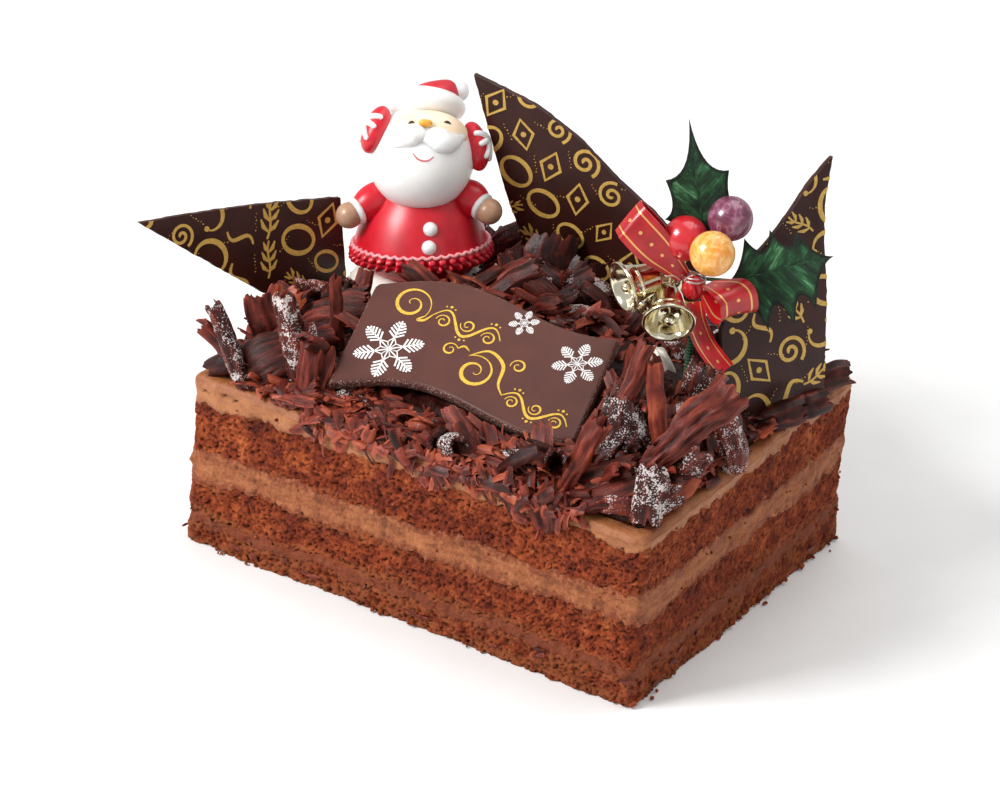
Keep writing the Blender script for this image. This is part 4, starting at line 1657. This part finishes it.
def loop_path(root, reach, across, fatness, width):
    """A teardrop loop, pinched at its root: it rounds its far end and comes back beside itself."""
    thick = reach.cross(across).normalized()
    path = []
    turns = 16
    for i in range(turns + 1):
        share = i / turns
        angle = math.pi * (2 * share - 1)
        out = (1 + math.cos(angle)) / 2
        swell = math.sin(angle) * fatness * (0.25 + 0.75 * out)
        place = root + reach * out + thick * (swell + 0.9 * MM * (1 if share > 0.5 else -1))
        path.append((place, width * (0.35 + 0.65 * min(1.0, out * 1.8))))
    return path


left_across = Vector((-0.40, -0.42, -0.81)).normalized()
ribbon_band("ribbon_left_loop",
            loop_path(KNOT + at(-2.4, -1.2, 2.6), at(-13.5, -8.2, 16.2), left_across, 3.6 * MM, 10.5 * MM),
            left_across, 0.3, "ribbon_loop_left")
right_across = Vector((0.62, 0.76, 0.16)).normalized()
ribbon_band("ribbon_right_loop",
            loop_path(KNOT + at(3.4, 0, 0.6), at(11.5, -1.5, -1.5), right_across, 4.6 * MM, 10.5 * MM),
            right_across, -0.3, "ribbon_loop_right")
tail_start = KNOT + at(2.0, -3.0, -3.2)
tail_end = KNOT + at(13, -2.8, -19.6)
tail_path = []
for i in range(8):
    share = i / 7
    sway = math.sin(math.pi * share) * at(-2.4, 0, -0.6)
    crumple = noise.noise_vector(Vector((share * 5, 3, 1))) * 0.5 * MM
    tail_path.append((tail_start.lerp(tail_end, share) + sway + crumple, 5.6 * MM))
ribbon_band("ribbon_hanging_tail", tail_path, Vector((0.82, 0.52, 0.22)).normalized(), 0.7, "ribbon_tail")


def gathered(place):
    """The folds of the ribbon where it is drawn together."""
    fold = math.sin(math.atan2(place.y, place.x) * 7 + place.z * 2)
    return place * (1 + 0.07 * fold)


plain_satin = sugar_material("red satin folds", "#CE141F", "#A80D16", glow=0.0, roughness=0.3, coat=0.25)
knot = rounded_piece("ribbon_wrapped_knot",
                     heading_frame(KNOT + at(0.6, -1.1, 0), Vector((0, 0, 1)), FACING),
                     (2.9 * MM, 2.3 * MM, 3.3 * MM), plain_satin, 64, 32, gathered)
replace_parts(knot, "ribbon_knot")
silver_wire = plating_material("pale binding wire", "#E8DAD6", "#C8B0AC", 0.25)
turns = []
for i in range(70):
    angle = math.tau * i / 24
    up = 1.6 + 0.4 * math.sin(i * 0.09) + 0.035 * i
    turns.append((KNOT + at(0.6 + 3.1 * math.cos(angle), -1.1 + 2.6 * math.sin(angle), up), 0.24 * MM))
tube("knot_binding_wire", turns, silver_wire, 8)
for name, path in (("left", ((-2.6, -3.2, 2.2), (-3.6, -4.6, 3.6), (-5.6, -5.6, 3.4))),
                   ("right", ((-0.4, -3.9, 2.8), (0.6, -5.2, 4.6), (2.4, -5.6, 6.2)))):
    line = smooth([(*(KNOT + at(*spot)), 0.22 * MM) for spot in path], 6)
    tube("binding_wire_end_" + name, [(Vector(spot[:3]), spot[3]) for spot in line], silver_wire,
         8)


# The crumbs
# Bits of sponge torn loose by the knife, stuck to the cut sides and lying along the foot of the cake, with
# a few flakes of chocolate off the heap. They are hard, dry and of any shape.

class Crumbs(Gathered):
    """Many small rough lumps."""

    def __init__(self):
        super().__init__("hollow", "seam")
        ball = bmesh.new()
        bmesh.ops.create_icosphere(ball, subdivisions=2, radius=1.0)
        ball.verts.ensure_lookup_table()
        self.ball = [vert.co.copy() for vert in ball.verts]
        self.sides = [tuple(vert.index for vert in face.verts) for face in ball.faces]
        ball.free()

    def lump(self, centre, size, draw):
        points = []
        stretch = Vector([draw.uniform(0.6, 1.25) for _ in range(3)])
        seed = Vector([draw.uniform(0, 50) for _ in range(3)])
        for spot in self.ball:
            rough = 1 + 0.55 * noise.noise(spot * 1.3 + seed) + 0.3 * noise.noise(spot * 3.1 + seed)
            point = centre + spot * stretch * rough * size
            points.append(Vector((point.x, point.y, max(point.z, 0.0))))
        self.add(points, self.sides)
        self.looks["hollow"] += [0.0] * len(points)
        self.looks["seam"] += [1.0] * len(points)


draw = random.Random(8)
outline = cake_outline(SIDE_STEP)
crumbs = Crumbs()
for count, low, high, smallest, largest, stand in ((120, 0.3, 2.2, 0.35, 0.9, 0.3),
                                                   (110, 1, 12, 0.3, 0.75, 0.1),
                                                   (50, 20, 33, 0.25, 0.5, 0.0),
                                                   (30, 44, 50, 0.25, 0.45, 0.0),
                                                   (22, 0.2, 0.5, 0.25, 0.6, 2.0)):
    for _ in range(count):
        point, outward = draw.choice(outline)
        size = draw.uniform(smallest, largest) * MM
        height = draw.uniform(low, high) * MM
        place = Vector((point.x, point.y, max(height, size * 0.8)))
        out = side_form(place) + draw.uniform(0.1, 0.5) * MM + draw.uniform(0, stand) * MM
        crumbs.lump(place + outward * out, size, draw)
new_piece("loose_crumbs", crumbs.points, crumbs.faces, sponge, crumbs.looks, 60)

flakes = Heap()
for _ in range(36):
    point, outward = draw.choice(outline)
    place = Vector((point.x, point.y, draw.uniform(2.6, 8) * MM))
    along = Vector((-outward.y, outward.x, draw.uniform(-0.4, 0.4))).normalized()
    foot = place + outward * (side_form(place) + draw.uniform(0.2, 1.0) * MM)
    flakes.strip(foot, foot + along * draw.uniform(1.5, 4) * MM, draw.uniform(0.7, 1.6) * MM, 60,
                 thickness=0.5 * MM, ridge=0.15 * MM, ragged=0.8 * MM, tone=draw.uniform(0.3, 0.8),
                 outward=outward, cell=0.6 * MM, seed=draw.uniform(0, 90), taper=0.2)
flakes.piece("fallen_flakes", chocolate, "curl_chocolate", 50)


# The table, the light and the camera
# A plain pale floor under soft studio light from the front left, seen from a little above the front right
# corner.

def studio(name, place, aim, size, power, tint="#FFFFFF"):
    lamp = bpy.data.lights.new(name, "AREA")
    lamp.shape = "RECTANGLE"
    lamp.size, lamp.size_y = size
    lamp.energy = power
    lamp.color = colour(tint)[:3]
    light = bpy.data.objects.new(name, lamp)
    light.location = place
    light.rotation_euler = (Vector(aim) - Vector(place)).to_track_quat("-Z", "Y").to_euler()
    bpy.context.scene.collection.objects.link(light)


paper = new_material("pale paper", Roughness=0.95)
grain = add_node(paper, "TexNoise",
                 {"Vector": add_node(paper, "TexCoord").outputs["Object"], "Scale": 60, "Detail": 2})
shade = add_node(paper, "ValToRGB", {"Fac": grain}, stops=((0.2, "#F1F1F0"), (0.8, "#F5F5F4")))
finish_material(paper, Base_Color=shade)
reach = 6.0
ground = bpy.data.meshes.new("table")
ground.from_pydata([(-reach, -reach, 0), (reach, -reach, 0), (reach, reach, 0), (-reach, reach, 0)], [],
                   [(0, 1, 2, 3)])
ground.materials.append(paper)
table = bpy.data.objects.new("table", ground)
table.location.z = -0.0002
bpy.context.scene.collection.objects.link(table)

studio("key", (-0.55, -0.70, 0.75), (0, 0, 0.05), (0.42, 0.42), 13.2)
studio("fill", (0.95, -0.45, 0.45), (0, 0, 0.05), (0.6, 0.6), 0.8)
studio("top", (0.1, 0.35, 1.0), (0, 0, 0.05), (0.8, 0.8), 4.5)
world = bpy.data.worlds.new("studio")
bpy.context.scene.world = world
world.use_nodes = True
world.node_tree.nodes["Background"].inputs["Color"].default_value = (1.0, 1.0, 1.0, 1.0)
world.node_tree.nodes["Background"].inputs["Strength"].default_value = 0.5
bpy.context.scene.view_settings.view_transform = "Standard"

FOCAL = 4705 / 1000
BACK = Vector((0.434, -0.744, 0.509)).normalized()
RIGHT = Vector((0.844, 0.533, 0.06))
RIGHT = (RIGHT - BACK * RIGHT.dot(BACK)).normalized()
UP = BACK.cross(RIGHT)
aim = -BACK * FOCAL + RIGHT * (500 - 515.2) / 1000 + UP * (536.5 - 400) / 1000
back = -aim.normalized()
right = UP.cross(back).normalized()
camera = bpy.data.objects.new("camera", bpy.data.cameras.new("camera"))
turn = Matrix((right, back.cross(right), back)).transposed().to_4x4()
camera.matrix_world = Matrix.Translation(BACK * 1.3) @ turn
camera.data.sensor_width = 36
camera.data.lens = aim.length * 36
camera.data.clip_start = 0.05
bpy.context.scene.collection.objects.link(camera)
bpy.context.scene.camera = camera
